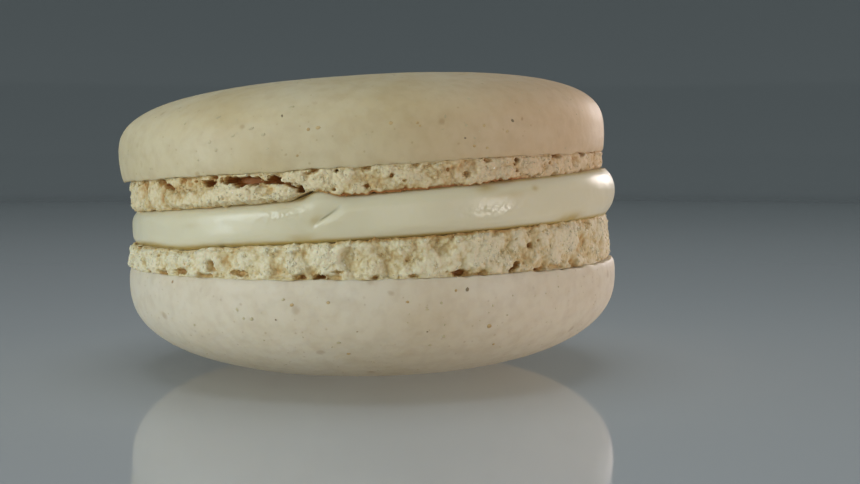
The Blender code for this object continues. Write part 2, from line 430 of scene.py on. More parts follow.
# The open crumb of the foot: dried meringue froth, which the eye sees as pale crests over ochre hollows
@dataclass(frozen=True)
class CragCrumb(Baked):
    """The finish of a foot, coloured by how deep each place lies. Deeper places are browner and darker: partly
    the crumb's own colour, partly painted shade.

    Attributes:
        stops: How deep and in which colour, from what stands out to the inside of the tear. The deeper colours
            are partly painted shade.
        cloud: Its colour clouds: width in millimetres, detail, and how far they shift the depth down and up.
        speck: The same for the small paler and darker specks in them.
        grain: Width in millimetres and detail of its finest grain.
        grain_low: Strength of that grain, and its depth in millimetres.
        gloss: Its least and greatest roughness.
    """

    name: str = "meringue_crumb"
    stops: tuple[tuple[float, str], ...] = (
        (0.02, "#ddd2b0"),
        (0.20, "#cdbb8c"),
        (0.40, "#b8965a"),
        (0.62, "#946830"),
        (1.00, "#90561f"),
    )
    tan: str = "#b98a6c"
    tan_share: Triple = (0.14, 2.0, 16.0)
    cloud: tuple[float, float, float, float] = (2.4, 4.0, -0.10, 0.12)
    speck: tuple[float, float, float, float] = (0.34, 3.0, -0.09, 0.11)
    grain: Pair = (0.16, 5.0)
    grain_low: Pair = (0.6, 0.08)
    gloss: Pair = (0.45, 0.75)
    glow: tuple[float, Triple, float] = (0.25, (1.0, 0.65, 0.35), 0.6)
    ior: float = 1.45

    def paint(self, tree: NodeTree, place: NodeSocket) -> dict[str, object]:
        """Colours each place by its depth, a little shifted by clouds and specks.

        Args:
            tree: The material's tree.
            place: The socket that gives the place on the piece.

        Returns:
            What feeds the Principled BSDF.
        """
        # The attribute hollow carries depth and painted shade: the higher it is, the browner and darker the
        # colour.
        depth = put(tree, "ShaderNodeAttribute", attribute_name="hollow").outputs["Fac"]
        for width, detail, down, up in (self.cloud, self.speck):
            feeds = {"Vector": place, "Scale": 1000.0 / width, "Detail": detail}
            patches = put(tree, "ShaderNodeTexNoise", feeds)
            shift = put(tree, "ShaderNodeMapRange", (patches, *MOST, down, up))
            depth = put(tree, "ShaderNodeMath", (depth, shift), operation="ADD")
        ramp = put(tree, "ShaderNodeValToRGB", (depth,))
        while len(ramp.color_ramp.elements) < len(self.stops):
            ramp.color_ramp.elements.new(0.5)
        for element, (position, code) in zip(ramp.color_ramp.elements, self.stops):
            element.position = position
            element.color = linear(code)
        width, detail = self.grain
        grain = put(tree, "ShaderNodeTexNoise", {"Vector": place, "Scale": 1000.0 / width, "Detail": detail})
        strength, low = self.grain_low
        return {
            "Base Color": painted(tree, ramp, [self.right_side_tint(tree, place)]),
            "Roughness": put(tree, "ShaderNodeMapRange", (grain, *MOST, *self.gloss)),
            "Normal": put(
                tree, "ShaderNodeBump", {"Height": grain, "Strength": strength, "Distance": low * MM}
            ),
        }


# Butter cream: fat and air spread with a knife, which the eye sees as moist, glossy and slightly see-through
@dataclass(frozen=True)
class ButterCream(Finish):
    """The finish of the filling. Where the attribute wrinkled is high, its skin is wetter and finely creased.

    Attributes:
        body: The colour of the thick cream.
        shade_and_smears: The colour of painted shade along its edges on both feet, and of ochre smears.
        crease: The colour of the painted shade at the bottom of the fold.
        streak_mm: The spacing of the fine streaks that spreading left.
        streak_low: The least and greatest strength of the streaks, and their depth in millimetres.
        squash: How the streaks are drawn out: their scale along X, Y and Z.
        dimple_mm: The spacing of the small dimples.
        dimple_low: Strength of the dimples, and their depth in millimetres.
        gloss: Its least and greatest roughness.
        wet: How much the roughness changes where it is wrinkled.
    """

    name: str = "butter_cream"
    body: str = "#d6ceb0"
    shade_and_smears: str = "#b49c5a"
    crease: str = "#8e8457"
    streak_mm: float = 0.45
    streak_low: Triple = (0.15, 1.0, 0.06)
    squash: Triple = (0.8, 0.8, 1.2)
    dimple_mm: float = 1.6
    dimple_low: Pair = (0.4, 0.12)
    gloss: Pair = (0.31, 0.37)
    wet: float = -0.12
    glow: tuple[float, Triple, float] = (0.6, (1.0, 0.85, 0.6), 1.2)
    ior: float = 1.46

    def paint(self, tree: NodeTree, place: NodeSocket) -> dict[str, object]:
        """Paints shade along the edges and in the crease, and the smears, and lays streaks and dimples.

        Args:
            tree: The material's tree.
            place: The socket that gives the place on the piece.

        Returns:
            What feeds the Principled BSDF.
        """
        shade_and_smears, crease_shade, wrinkled = (
            put(tree, "ShaderNodeAttribute", attribute_name=label).outputs["Fac"]
            for label in ("shade_and_smears", "crease_shade", "wrinkled")
        )
        level = put(tree, "ShaderNodeMapping", {"Vector": place, "Scale": self.squash})
        streaks, dimples = (
            put(tree, "ShaderNodeTexNoise", {"Vector": at, "Scale": 1000.0 / width, "Detail": detail})
            for at, width, detail in ((level, self.streak_mm, 3.0), (place, self.dimple_mm, 2.0))
        )
        least, greatest, streak_depth = self.streak_low
        strength = put(tree, "ShaderNodeMapRange", (wrinkled, 0.0, 1.0, least, greatest))
        fine = {"Height": streaks, "Strength": strength, "Distance": streak_depth * MM}
        dented, dimple_depth = self.dimple_low
        coarse = {"Height": dimples, "Strength": dented, "Distance": dimple_depth * MM}
        gloss = put(tree, "ShaderNodeMapRange", (dimples, *MOST, *self.gloss))
        return {
            "Base Color": painted(tree, linear(self.body), [(shade_and_smears, self.shade_and_smears), (crease_shade, self.crease)]),
            "Roughness": put(tree, "ShaderNodeMath", (wrinkled, self.wet, gloss), operation="MULTIPLY_ADD"),
            "Normal": put(tree, "ShaderNodeBump", coarse | {"Normal": put(tree, "ShaderNodeBump", fine)}),
        }


# Bits of almond skin and sugar: hard flakes and grains, which the eye sees as dark flecks and bright glints
@dataclass(frozen=True)
class Speck(Finish):
    """The finish of flecks or crystals, mottled between two colours.

    Attributes:
        main: The commoner colour.
        other: The rarer colour.
        roughness: How matt they are.
        mottle_mm: The width of one patch of a colour.
        span: From and to which value of the noise the rarer colour sets in.
    """

    main: str
    other: str
    roughness: float = 0.6
    mottle_mm: float = 0.5
    span: Pair = (0.4, 0.65)

    def paint(self, tree: NodeTree, place: NodeSocket) -> dict[str, object]:
        """Paints patches of the rarer colour over the commoner one.

        Args:
            tree: The material's tree.
            place: The socket that gives the place on the piece.

        Returns:
            What feeds the Principled BSDF.
        """
        patches = put(tree, "ShaderNodeTexNoise", {"Vector": place, "Scale": 1000.0 / self.mottle_mm})
        share = put(tree, "ShaderNodeMapRange", (patches, *self.span))
        colour = painted(tree, linear(self.main), [(share, self.other)])
        return {"Base Color": colour, "Roughness": self.roughness}


# Satin acrylic sheet, cast smooth: the eye sees a plain pale table that mirrors softly
@dataclass(frozen=True)
class SatinAcrylic(Finish):
    """The finish of the floor.

    Attributes:
        colour: Its colour.
        roughness: How blurred its mirror image is.
    """

    name: str = "satin_acrylic"
    colour: str = "#c4c9ca"
    roughness: float = 0.07
    ior: float = 1.5

    def paint(self, tree: NodeTree, place: NodeSocket) -> dict[str, object]:
        """The same colour and roughness all over."""
        return {"Base Color": linear(self.colour), "Roughness": self.roughness}


def new_tree(name: str, inputs: Mapping[str, object]) -> tuple[NodeTree, NodeOutputs]:
    """Starts a Geometry Nodes tree that takes and gives a geometry.

    Args:
        name: The tree's name.
        inputs: The named inputs besides the geometry, each with a value of its kind.

    Returns:
        The tree and the sockets of its inputs.
    """
    tree = bpy.data.node_groups.new(name, "GeometryNodeTree")
    for way in ("OUTPUT", "INPUT"):
        tree.interface.new_socket("Geometry", in_out=way, socket_type="NodeSocketGeometry")
    for label, value in inputs.items():
        tree.interface.new_socket(label, in_out="INPUT", socket_type=SOCKETS[type(value)])
    return tree, put(tree, "NodeGroupInput").outputs


def end_tree(tree: NodeTree, geometry: Node, material: Material) -> None:
    """Ends a tree in Realize Instances and Set Material.

    Args:
        tree: The tree to end.
        geometry: The node that gives the finished shape.
        material: The finish of that shape.
    """
    real = put(tree, "GeometryNodeRealizeInstances", {"Geometry": geometry})
    dressed = put(tree, "GeometryNodeSetMaterial", {"Geometry": real, "Material": material})
    put(tree, "NodeGroupOutput", {"Geometry": dressed})


def grow(name: str, base: Mesh, tree: NodeTree, values: Mapping[str, object]) -> Object:
    """Runs a Geometry Nodes tree on a mesh and keeps the result as a plain mesh.

    Args:
        name: The new object's name.
        base: The mesh that the tree starts from.
        tree: The tree to run.
        values: The tree's inputs by name.

    Returns:
        An object at the origin with the finished mesh and no modifier.
    """
    made = bpy.data.objects.new(name, base)
    bpy.context.scene.collection.objects.link(made)
    modifier = made.modifiers.new(name, "NODES")
    modifier.node_group = tree
    for item in tree.interface.items_tree:
        if item.in_out == "INPUT" and item.name in values:
            modifier[item.identifier] = values[item.name]
    graph = bpy.context.evaluated_depsgraph_get()
    result = bpy.data.meshes.new_from_object(
        made.evaluated_get(graph), preserve_all_data_layers=True, depsgraph=graph
    )
    made.modifiers.clear()
    made.data = result
    result.name = name
    return made


def point_out(made: Object) -> None:
    """Merges doubles in a closed mesh and turns its faces outwards, shaded smooth.

    Args:
        made: The object whose mesh is mended.
    """
    mesh = bmesh.new()
    mesh.from_mesh(made.data)
    bmesh.ops.remove_doubles(mesh, verts=mesh.verts, dist=DOUBLES)
    bmesh.ops.recalc_face_normals(mesh, faces=mesh.faces)
    mesh.to_mesh(made.data)
    mesh.free()
    made.data.shade_smooth()


def lit_pieces(lit: Lit) -> Collection:
    """The collection of what a kind of lamp lights."""
    return bpy.data.collections.get(lit.value) or bpy.data.collections.new(lit.value)


def hand_over(made: Object, slot: Slot, node: str | None = None) -> Object:
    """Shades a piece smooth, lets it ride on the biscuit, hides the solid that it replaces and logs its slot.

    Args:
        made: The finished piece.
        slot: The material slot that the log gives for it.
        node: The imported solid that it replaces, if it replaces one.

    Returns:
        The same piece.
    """
    made.data.shade_smooth()
    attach(made, BODY)
    lit_pieces(Lit.BISCUIT).objects.link(made)
    if node:
        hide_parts(node)
    LOG.info("%s: %d faces, slot %s", made.name, len(made.data.polygons), slot.value)
    return made


def ringed_mesh(name: str, points: np.ndarray, fields: Mapping[str, np.ndarray]) -> Mesh:
    """Joins level rings of points into a closed mesh whose faces point outwards.

    Args:
        name: The mesh's name.
        points: Rings from the lowest to the highest, each running from the front to the right and round.
        fields: Numbers that the mesh keeps as attributes, for each point but those of the first and the last
            ring, which get 0.

    Returns:
        The mesh, shaded smooth.
    """
    rings, steps = points.shape[:2]
    number = np.arange(rings * steps).reshape(rings, steps)
    beside = np.roll(number, -1, axis=1)
    quads = np.stack([number[:-1], beside[:-1], beside[1:], number[1:]], axis=-1).reshape(-1, 4)
    low, high = rings * steps, rings * steps + 1
    low_fan = np.stack([np.full(steps, low), beside[0], number[0]], axis=-1)
    high_fan = np.stack([np.full(steps, high), number[-1], beside[-1]], axis=-1)
    middles = np.stack([points[0].mean(axis=0), points[-1].mean(axis=0)])
    places = np.concatenate([points.reshape(-1, 3), middles])
    mesh = bpy.data.meshes.new(name)
    mesh.from_pydata(places.tolist(), [], quads.tolist() + low_fan.tolist() + high_fan.tolist())
    for label, values in fields.items():
        full = np.zeros(len(places), dtype=np.float32)
        full[steps : (rings - 1) * steps] = np.broadcast_to(values, (rings - 2, steps)).reshape(-1)
        mesh.attributes.new(label, "FLOAT", "POINT").data.foreach_set("value", full)
    mesh.shade_smooth()
    return mesh


@dataclass(frozen=True)
class Relief:
    """The fine relief that a tree of nodes lays on a surface, along its normals.

    Attributes:
        wave: Width and depth of slow waves.
        crumb: Width and depth of rounded crumbs with sharp clefts between them.
        bead: Width and depth of small beads on the crumbs.
        pore: Spacing and depth of round pores.
        pore_share: The share of the pores' places that has one.
        pore_mouth: Where a pore's wall starts and ends, as shares of the spacing.
        grain: Width and depth of the finest grain.
        shade_and_stain: How strongly low places count as hollows in the colour, which a foot's finish darkens,
            partly as painted shade.
        seed: Where in the patterns the relief starts.
    """

    wave: Pair = (8.0 * MM, 0.0)
    crumb: Pair = (0.8 * MM, 0.0)
    bead: Pair = (0.4 * MM, 0.0)
    pore: Pair = (1.2 * MM, 0.0)
    pore_share: float = 0.3
    pore_mouth: Pair = (0.10, 0.32)
    grain: Pair = (0.3 * MM, 0.0)
    shade_and_stain: float = 0.0
    seed: float = 1.0

    def inputs(self) -> dict[str, float]:
        """The tree's inputs by name.

        Returns:
            The width and the depth of each pattern, and what else the tree takes.
        """
        inputs = {"Pore Share": self.pore_share, "Shade And Stain": self.shade_and_stain, "Seed": self.seed}
        for part in ("Wave", "Crumb", "Bead", "Pore", "Grain"):
            inputs[part + " Width"], inputs[part + " Depth"] = getattr(self, part.lower())
        return inputs

    def tree(self, material: Material) -> NodeTree:
        """Builds the tree. Its strength follows the attribute rough, and it adds to the attribute hollow, which
        darkens low places, partly as painted shade.

        Args:
            material: The finish of the surface.

        Returns:
            A tree with one named input for each size.
        """
        tree, given = new_tree("fine_relief", self.inputs())
        place = put(tree, "GeometryNodeInputPosition")
        noisy = ("ShaderNodeTexNoise", "noise_dimensions")
        celled = ("ShaderNodeTexVoronoi", "voronoi_dimensions")
        inward = 0.0
        for part, (kind, dimensions), detail, level in (
            ("Wave", noisy, 2.0, 0.5),
            ("Crumb", celled, 0.0, 0.3),
            ("Bead", celled, 0.0, 0.3),
            ("Pore", celled, 0.0, 0.0),
            ("Grain", noisy, 3.0, 0.5),
        ):
            scale = put(tree, "ShaderNodeMath", (1.0, given[part + " Width"]), operation="DIVIDE")
            feeds = {"Vector": place, "W": given["Seed"], "Scale": scale, "Detail": detail}
            shape = put(tree, kind, feeds, **{dimensions: "4D"})
            if part == "Pore":
                luck = put(tree, "FunctionNodeSeparateColor", (shape.outputs["Color"],))
                there = put(tree, "ShaderNodeMath", (luck, given["Pore Share"]), operation="LESS_THAN")
                mouth = (shape, *self.pore_mouth, 1.0, 0.0)
                shape = put(tree, "ShaderNodeMapRange", mouth, interpolation_type="SMOOTHSTEP")
                shape = put(tree, "ShaderNodeMath", (shape, there), operation="MULTIPLY")
            else:
                if kind == celled[0]:
                    shape = put(tree, "ShaderNodeMath", (shape, 2.0), operation="POWER")
                shape = put(tree, "ShaderNodeMath", (shape, -level), operation="ADD")
            sum_up = (shape, given[part + " Depth"], inward)
            inward = put(tree, "ShaderNodeMath", sum_up, operation="MULTIPLY_ADD")
        rough, known = (
            put(tree, "GeometryNodeInputNamedAttribute", (label,), data_type="FLOAT")
            for label in ("rough", "hollow")
        )
        felt = put(tree, "ShaderNodeMath", (inward, rough), operation="MULTIPLY")
        # Low places add to the attribute hollow, which darkens the foot's colour, partly as painted shade.
        shaded_hollow = put(tree, "ShaderNodeMath", (felt, given["Shade And Stain"], known), operation="MULTIPLY_ADD")
        back = put(tree, "ShaderNodeMath", (felt, -1.0), operation="MULTIPLY")
        normal = put(tree, "GeometryNodeInputNormal")
        offset = put(tree, "ShaderNodeVectorMath", {0: normal, "Scale": back}, operation="SCALE")
        hollow_store = {"Geometry": given["Geometry"], "Name": "hollow", "Value": shaded_hollow}
        kept = put(tree, "GeometryNodeStoreNamedAttribute", hollow_store, data_type="FLOAT", domain="POINT")
        end_tree(tree, put(tree, "GeometryNodeSetPosition", {"Geometry": kept, "Offset": offset}), material)
        return tree

    def lay(self, name: str, base: Mesh, material: Material) -> Object:
        """Lays the relief on a mesh.

        Args:
            name: The finished object's name.
            base: The mesh without it.
            material: The finish of the surface.

        Returns:
            The object with its final mesh.
        """
        return grow(name, base, self.tree(material), self.inputs())


@dataclass(frozen=True)
class ShellPart:
    """What the dome and the foot of a shell have in common.

    Attributes:
        name: The piece's name.
        node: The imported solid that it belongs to.
        side: Which way the dome points: the foot lies on the other side of the rim.
        rim: The seam between the two.
        radius: Its widest radius.
        shift: How far its axis stands from the lower dome's, along X and Y.
        relief: Its fine relief.
    """

    name: str
    node: str
    side: Side
    rim: Seam
    radius: float
    shift: Pair
    relief: Relief


@dataclass(frozen=True)
class Dome(ShellPart):
    """The smooth dome of one shell, turned by Geometry Nodes from a superellipse and its lip.

    Attributes:
        height: From the rim to the pole.
        power: The superellipse's power.
        lip_height: From the rim to the widest ring.
        lip_inset: How far the lip curls in to the rim.
        shelf: How far the flat under the lip reaches inwards.
        steps: Points in each ring.
        rings: Rings from the pole to the widest one.
        lip_rings: Rings from there to the rim.
        wobble: Width and height of the rim's wandering up and down.
    """

    height: float
    power: float
    lip_height: float
    lip_inset: float = 0.32 * MM
    shelf: float = 2.4 * MM
    steps: int = 640
    rings: int = 118
    lip_rings: int = 26
    wobble: Pair = (1.5 * MM, 0.22 * MM)

    def profile(self) -> Mesh:
        """Draws the line that is turned round the axis, from the pole to the closed underside.

        Returns:
            A mesh of one line, x being the distance from the widest ring and y the depth under the rim.
        """
        turn = np.linspace(0.0, 1.0, self.rings) ** 1.25 * math.pi / 2.0
        bend = 2.0 / self.power
        reach = self.radius * np.sin(turn) ** bend
        rise = self.lip_height + (self.height - self.lip_height) * np.cos(turn).clip(0.0) ** bend
        curl = np.linspace(0.0, math.pi / 2.0, self.lip_rings + 1)[1:]
        lip_reach = self.radius - self.lip_inset * (1.0 - np.cos(curl))
        lip_rise = self.lip_height * (1.0 - np.sin(curl))
        inner = self.radius - self.lip_inset - np.array([0.2, 0.6, 1.0]) * self.shelf
        x = np.concatenate([reach, lip_reach, inner, [0.0]]) - self.radius
        y = -self.side.value * np.concatenate([rise, lip_rise, np.zeros(len(inner) + 1)])
        line = bpy.data.meshes.new(self.name + "_profile")
        places = [(float(a), float(b), 0.0) for a, b in zip(x, y)]
        line.from_pydata(places, [(index, index + 1) for index in range(len(places) - 1)], [])
        return line

    def turning_tree(self, inputs: Mapping[str, object], skin: Material) -> NodeTree:
        """Builds the tree that turns the profile round the axis, lets the rim wander and leans the dome.

        Args:
            inputs: The tree's inputs by name.
            skin: The finish of the dome.

        Returns:
            The tree.
        """
        tree, given = new_tree("turned_dome", inputs)
        line = put(tree, "GeometryNodeMeshToCurve", {"Mesh": given["Geometry"]})
        ring_size = {"Resolution": given["Steps"], "Radius": given["Radius"]}
        circle = put(tree, "GeometryNodeCurvePrimitiveCircle", ring_size)
        turned = put(tree, "GeometryNodeCurveToMesh", {"Curve": circle, "Profile Curve": line})
        whole = put(tree, "GeometryNodeMergeByDistance", {"Geometry": turned, "Distance": DOUBLES})
        parts = put(tree, "ShaderNodeSeparateXYZ", (put(tree, "GeometryNodeInputPosition"),)).outputs
        over_rim = put(tree, "ShaderNodeMath", (parts["Z"],), operation="ABSOLUTE")
        fade = (over_rim, 0.0, given["Lip Height"], 1.0, 0.0)
        near_rim = put(tree, "ShaderNodeMapRange", fade, interpolation_type="SMOOTHSTEP")
        flat = put(tree, "ShaderNodeCombineXYZ", (parts["X"], parts["Y"]))
        scale = put(tree, "ShaderNodeMath", (1.0, given["Wobble Width"]), operation="DIVIDE")
        wander = put(tree, "ShaderNodeTexNoise", {"Vector": flat, "Scale": scale, "Detail": 2.0})
        wander = put(tree, "ShaderNodeMath", (wander, -0.5), operation="ADD")
        for factor in (given["Wobble"], near_rim):
            wander = put(tree, "ShaderNodeMath", (wander, factor), operation="MULTIPLY")
        lift = put(tree, "ShaderNodeCombineXYZ", {"Z": wander})
        uneven = put(tree, "GeometryNodeSetPosition", {"Geometry": whole, "Offset": lift})
        rough = {"Geometry": uneven, "Name": "rough", "Value": 1.0}
        marked = put(tree, "GeometryNodeStoreNamedAttribute", rough, data_type="FLOAT", domain="POINT")
        leaning = {"Geometry": marked, "Translation": given["Place"], "Rotation": given["Lean"]}
        end_tree(tree, put(tree, "GeometryNodeTransform", leaning), skin)
        return tree

    def build(self, skin: Material) -> Object:
        """Turns the dome, lays its relief and sets it on the table where it reaches that far down.

        Args:
            skin: The finish of the baked skin.

        Returns:
            The finished dome.
        """
        x, y = self.shift
        inputs = {
            "Steps": self.steps,
            "Radius": self.radius,
            "Lip Height": self.lip_height,
            "Wobble": 2.0 * self.wobble[1],
            "Wobble Width": self.wobble[0],
            "Lean": (0.0, -math.atan(self.rim.rise), 0.0),
            "Place": (x, y, float(self.rim.level(x))),
        }
        turned = grow(self.name + "_turned", self.profile(), self.turning_tree(inputs, skin), inputs)
        point_out(turned)
        made = self.relief.lay(self.name, turned.data, skin)
        bpy.data.objects.remove(turned)
        for vertex in made.data.vertices:
            vertex.co.z = max(vertex.co.z, 0.0)
        return hand_over(made, Slot.SHELL, self.node)


@dataclass(frozen=True)
class Hollow:
    """A pit or a slit in a foot's side.

    Attributes:
        angle: Where its middle is, in degrees round the axis.
        height: The height of its middle above the table.
        half_width: How far it reaches to each side along the foot.
        half_height: How far it reaches up and down.
        depth: How far in it goes.
        slant: How much it sinks for each metre to the right.
        floor: The share of its reach that is as deep as its middle.
    """

    angle: float
    height: float
    half_width: float
    half_height: float
    depth: float
    slant: float = 0.0
    floor: float = 0.25

    @classmethod
    def rows(cls, *rows: tuple[float, ...]) -> "tuple[Hollow, ...]":
        """Hollows from rows of their fields, whose four lengths are in millimetres."""
        return tuple(cls(row[0], *(length * MM for length in row[1:5]), *row[5:]) for row in rows)

    def cut(self, angle: np.ndarray, height: np.ndarray, radius: float, ragged: np.ndarray) -> np.ndarray:
        """How far in the foot's side goes because of this hollow.

        Args:
            angle: The places round the axis, in degrees.
            height: Their heights above the table.
            radius: The foot's radius, which turns degrees into a length.
            ragged: Small numbers that make the hollow's edge uneven.

        Returns:
            The depth at each place.
        """
        along = np.radians(angle - self.angle) * radius
        down = height - self.height + self.slant * along
        away = np.hypot(along / self.half_width, down / self.half_height) + ragged
        return self.depth * (1.0 - smoothstep(self.floor, 1.16, away))


@dataclass(frozen=True)
class Foot(ShellPart):
    """The rough band between a dome's rim and the cream, with its crags, its hollows and its flap.

    Attributes:
        seam: The seam on the cream.
        dip: Where the seam's edge leaves its plane.
        seed: Where in the noise its crags start.
        hollows: The pits and slits that the photo shows.
        flap: From and to which angle a flap stands out, and how far.
        seam_shadow: From and to which angle the edge on the seam is darkened with a painted shadow line, and
            how strongly.
        ends: Over how many degrees to each side the flap and the painted shadow line set in.
        ragged: Width and strength of the coarse and of the fine unevenness of the hollows' outlines.
        wander: Width, and height in millimetres, of the seam edge's coarse and fine wandering.
        steps: Points in each ring.
        rows: Rings from the rim to the seam.
        front_share: How much closer together the points are at the front than on average.
        edges: How far it is rounded in at the rim and at the seam.
        proud: How far crumbs may stand out, at the front and back and at the two sides.
        seam_band: How far its seam face reaches inwards.
        lump: Width and depth of its wide lumps.
        crumb: Width and depth of its rounded crumbs.
        pit: Width and depth of its burst crumbs.
        pit_share: The share of crumbs that burst.
        rim_pit: Width and depth of the small pits along the rim.
        side_inset: How much further in it stands at its two sides.
        tuck: How far it goes in and up into the dome.
    """

    seam: Seam
    dip: Dip
    seed: float
    hollows: tuple[Hollow, ...]
    flap: Triple = (-51.0, -14.0, 0.0)
    seam_shadow: Triple = (-8.0, 40.0, 0.16)
    ends: Pair = (1.2, 4.0)
    ragged: tuple[Pair, Pair] = ((0.50 * MM, 0.34), (0.17 * MM, 0.20))
    wander: tuple[Pair, Pair] = ((1.1 * MM, 0.16), (0.42 * MM, 0.13))
    steps: int = 1700
    rows: int = 52
    front_share: float = 0.35
    edges: Pair = (0.14 * MM, 0.28 * MM)
    proud: Pair = (0.35 * MM, 0.12 * MM)
    seam_band: float = 1.9 * MM
    lump: Pair = (4.2 * MM, 0.26 * MM)
    crumb: Pair = (1.6 * MM, 0.44 * MM)
    pit: Pair = (2.3 * MM, 0.40 * MM)
    pit_share: float = 0.30
    rim_pit: Pair = (1.3 * MM, 0.55 * MM)
    side_inset: float = 0.0
    tuck: Pair = (2.0 * MM, 0.5 * MM)

    def crags(self, points: np.ndarray) -> np.ndarray:
        """The same lumps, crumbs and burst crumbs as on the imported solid.

        Args:
            points: Places on the foot's side before its crags.

        Returns:
            How far in each place lies.
        """
        offset = Vector((self.seed, -self.seed, 2.0 * self.seed))
        depths = []
        for place in points.reshape(-1, 3):
            point = Vector(place)
            nearest = noise.voronoi(point / self.crumb[0] + offset)[0][0]
            inward = self.lump[1] * noise.noise(point / self.lump[0] + offset)
            inward += self.crumb[1] * (nearest * nearest - 0.25)
            reach, middles = noise.voronoi(point / self.pit[0] - offset)
            if noise.cell(middles[0] * 7.0) < self.pit_share:
                share = min(max((reach[0] - 0.10) / 0.36, 0.0), 1.0)
                inward += self.pit[1] * (1.0 - share * share * (3.0 - 2.0 * share))
            depths.append(inward)
        return np.array(depths).reshape(points.shape[:-1])

    def base(self) -> Mesh:
        """Builds the foot's closed mesh, with the attributes rough, hollow and crumbs.

        Returns:
            The mesh before its fine relief.
        """
        angle, outward = ring(self.steps, self.front_share)
        share = np.linspace(0.0, 1.0, self.rows)[:, None]
        at_rim, at_seam = 1.0 - smoothstep(0.0, 0.15, share), smoothstep(0.82, 1.0, share)
        reach = self.radius - (self.edges[0] * at_rim + self.edges[1] * at_seam) + 0.0 * angle
        points = np.array([*self.shift, 0.0]) + outward * reach[..., None]
        x = points[..., 0]
        top = self.rim.level(x)
        points[..., 2] = top + (self.seam.level(x) + self.dip.lift(angle) - top) * share
        free = band(share, (0.0, 0.06), (0.94, 1.05))
        crag = free * self.crags(points)
        (wide, strong), (narrow, weak) = self.ragged
        ragged = strong * noise_at(points, wide, (self.seed, 5.0, 1.0))
        ragged += weak * noise_at(points, narrow, (2.0, self.seed, 1.0))
        cut = np.zeros_like(crag)
        for hollow in self.hollows:
            cut = np.maximum(cut, hollow.cut(angle, points[..., 2], self.radius, ragged))
        flat = points[:1] * np.array([1.0, 1.0, 0.0])
        pitted = noise_at(flat, self.rim_pit[0], (1.0, self.seed, 6.0)) + 0.4 * ragged
        cut = np.maximum(cut, self.rim_pit[1] * hump(share, 0.07, 0.09) * smoothstep(0.16, 0.50, pitted))
        (wide, high), (narrow, low) = self.wander
        edge_lift = high * noise_at(flat, wide, (self.seed, 1.0, 3.0))
        edge_lift = edge_lift + low * noise_at(flat, narrow, (self.seed, 8.0, 3.0))
        points[..., 2] += MM * edge_lift * smoothstep(0.7, 1.0, share)
        start, end, out = self.flap
        flap_end, shadow_end = self.ends
        loose = band(angle, (start - flap_end, start + flap_end), (end - flap_end, end + flap_end))
        stands_out = out * loose * band(share, (0.38, 0.55), (0.88, 1.0))
        at_side = hump(np.abs(angle), 88.0, 30.0)
        limit = self.proud[0] + (self.proud[1] - self.proud[0]) * at_side
        inward = np.maximum(crag, -limit) + cut - stands_out + self.side_inset * at_side
        points -= outward * inward[..., None]
        # The colour's depth: crags and hollows darken it, partly as painted shade.
        hollow = np.clip(crag / (1.8 * MM), -0.1, 0.20) + np.clip(cut / (1.3 * MM), 0.0, 1.0)
        # Painted shade: the colour darkens along the seam and along the rim under the dome's lip.
        hollow += 0.22 * smoothstep(0.92, 1.0, share) + 0.12 * (1.0 - smoothstep(0.0, 0.08, share))
        # A painted shadow line darkens the foot's edge on the seam over a stretch of angles.
        first, last, shadow_strength = self.seam_shadow
        rise, fall = ((edge - shadow_end, edge + shadow_end) for edge in (first, last))
        hollow += shadow_strength * band(angle, rise, fall) * smoothstep(0.90, 0.98, share + 0.08 * ragged)
        rough = np.clip(free, 0.25, 1.0) * (1.0 - 0.7 * np.clip(cut / MM, 0.0, 1.0))
        crumbs = free * (1.0 - np.clip(cut / (0.4 * MM), 0.0, 1.0))
        return self.closed(points, {"rough": rough, "hollow": hollow, "crumbs": crumbs})

    def closed(self, side: np.ndarray, fields: Mapping[str, np.ndarray]) -> Mesh:
        """Closes the foot's side with a ring inside the dome and a ring on the seam.

        Args:
            side: The rows of the side, from the rim to the seam.
            fields: Numbers for each of its points.

        Returns:
            The closed mesh.
        """
        middle = np.array([*self.shift, 0.0])
        in_dome, on_seam = side[:1] - middle, side[-1:] - middle
        in_dome[..., :2] *= 1.0 - self.tuck[0] / self.radius
        in_dome[..., 2] += self.side.value * self.tuck[1]
        on_seam[..., :2] *= 1.0 - self.seam_band / self.radius
        points = np.concatenate([in_dome + middle, side, on_seam + middle])
        if self.side is Side.UP:
            points = points[::-1]
            fields = {label: values[::-1] for label, values in fields.items()}
        return ringed_mesh(self.name, points, fields)

    def build(self, crumb: Material) -> Object:
        """Builds the foot with its fine relief, in the finish of the crumb, and returns it."""
        return hand_over(self.relief.lay(self.name, self.base(), crumb), Slot.SHELL, self.node)


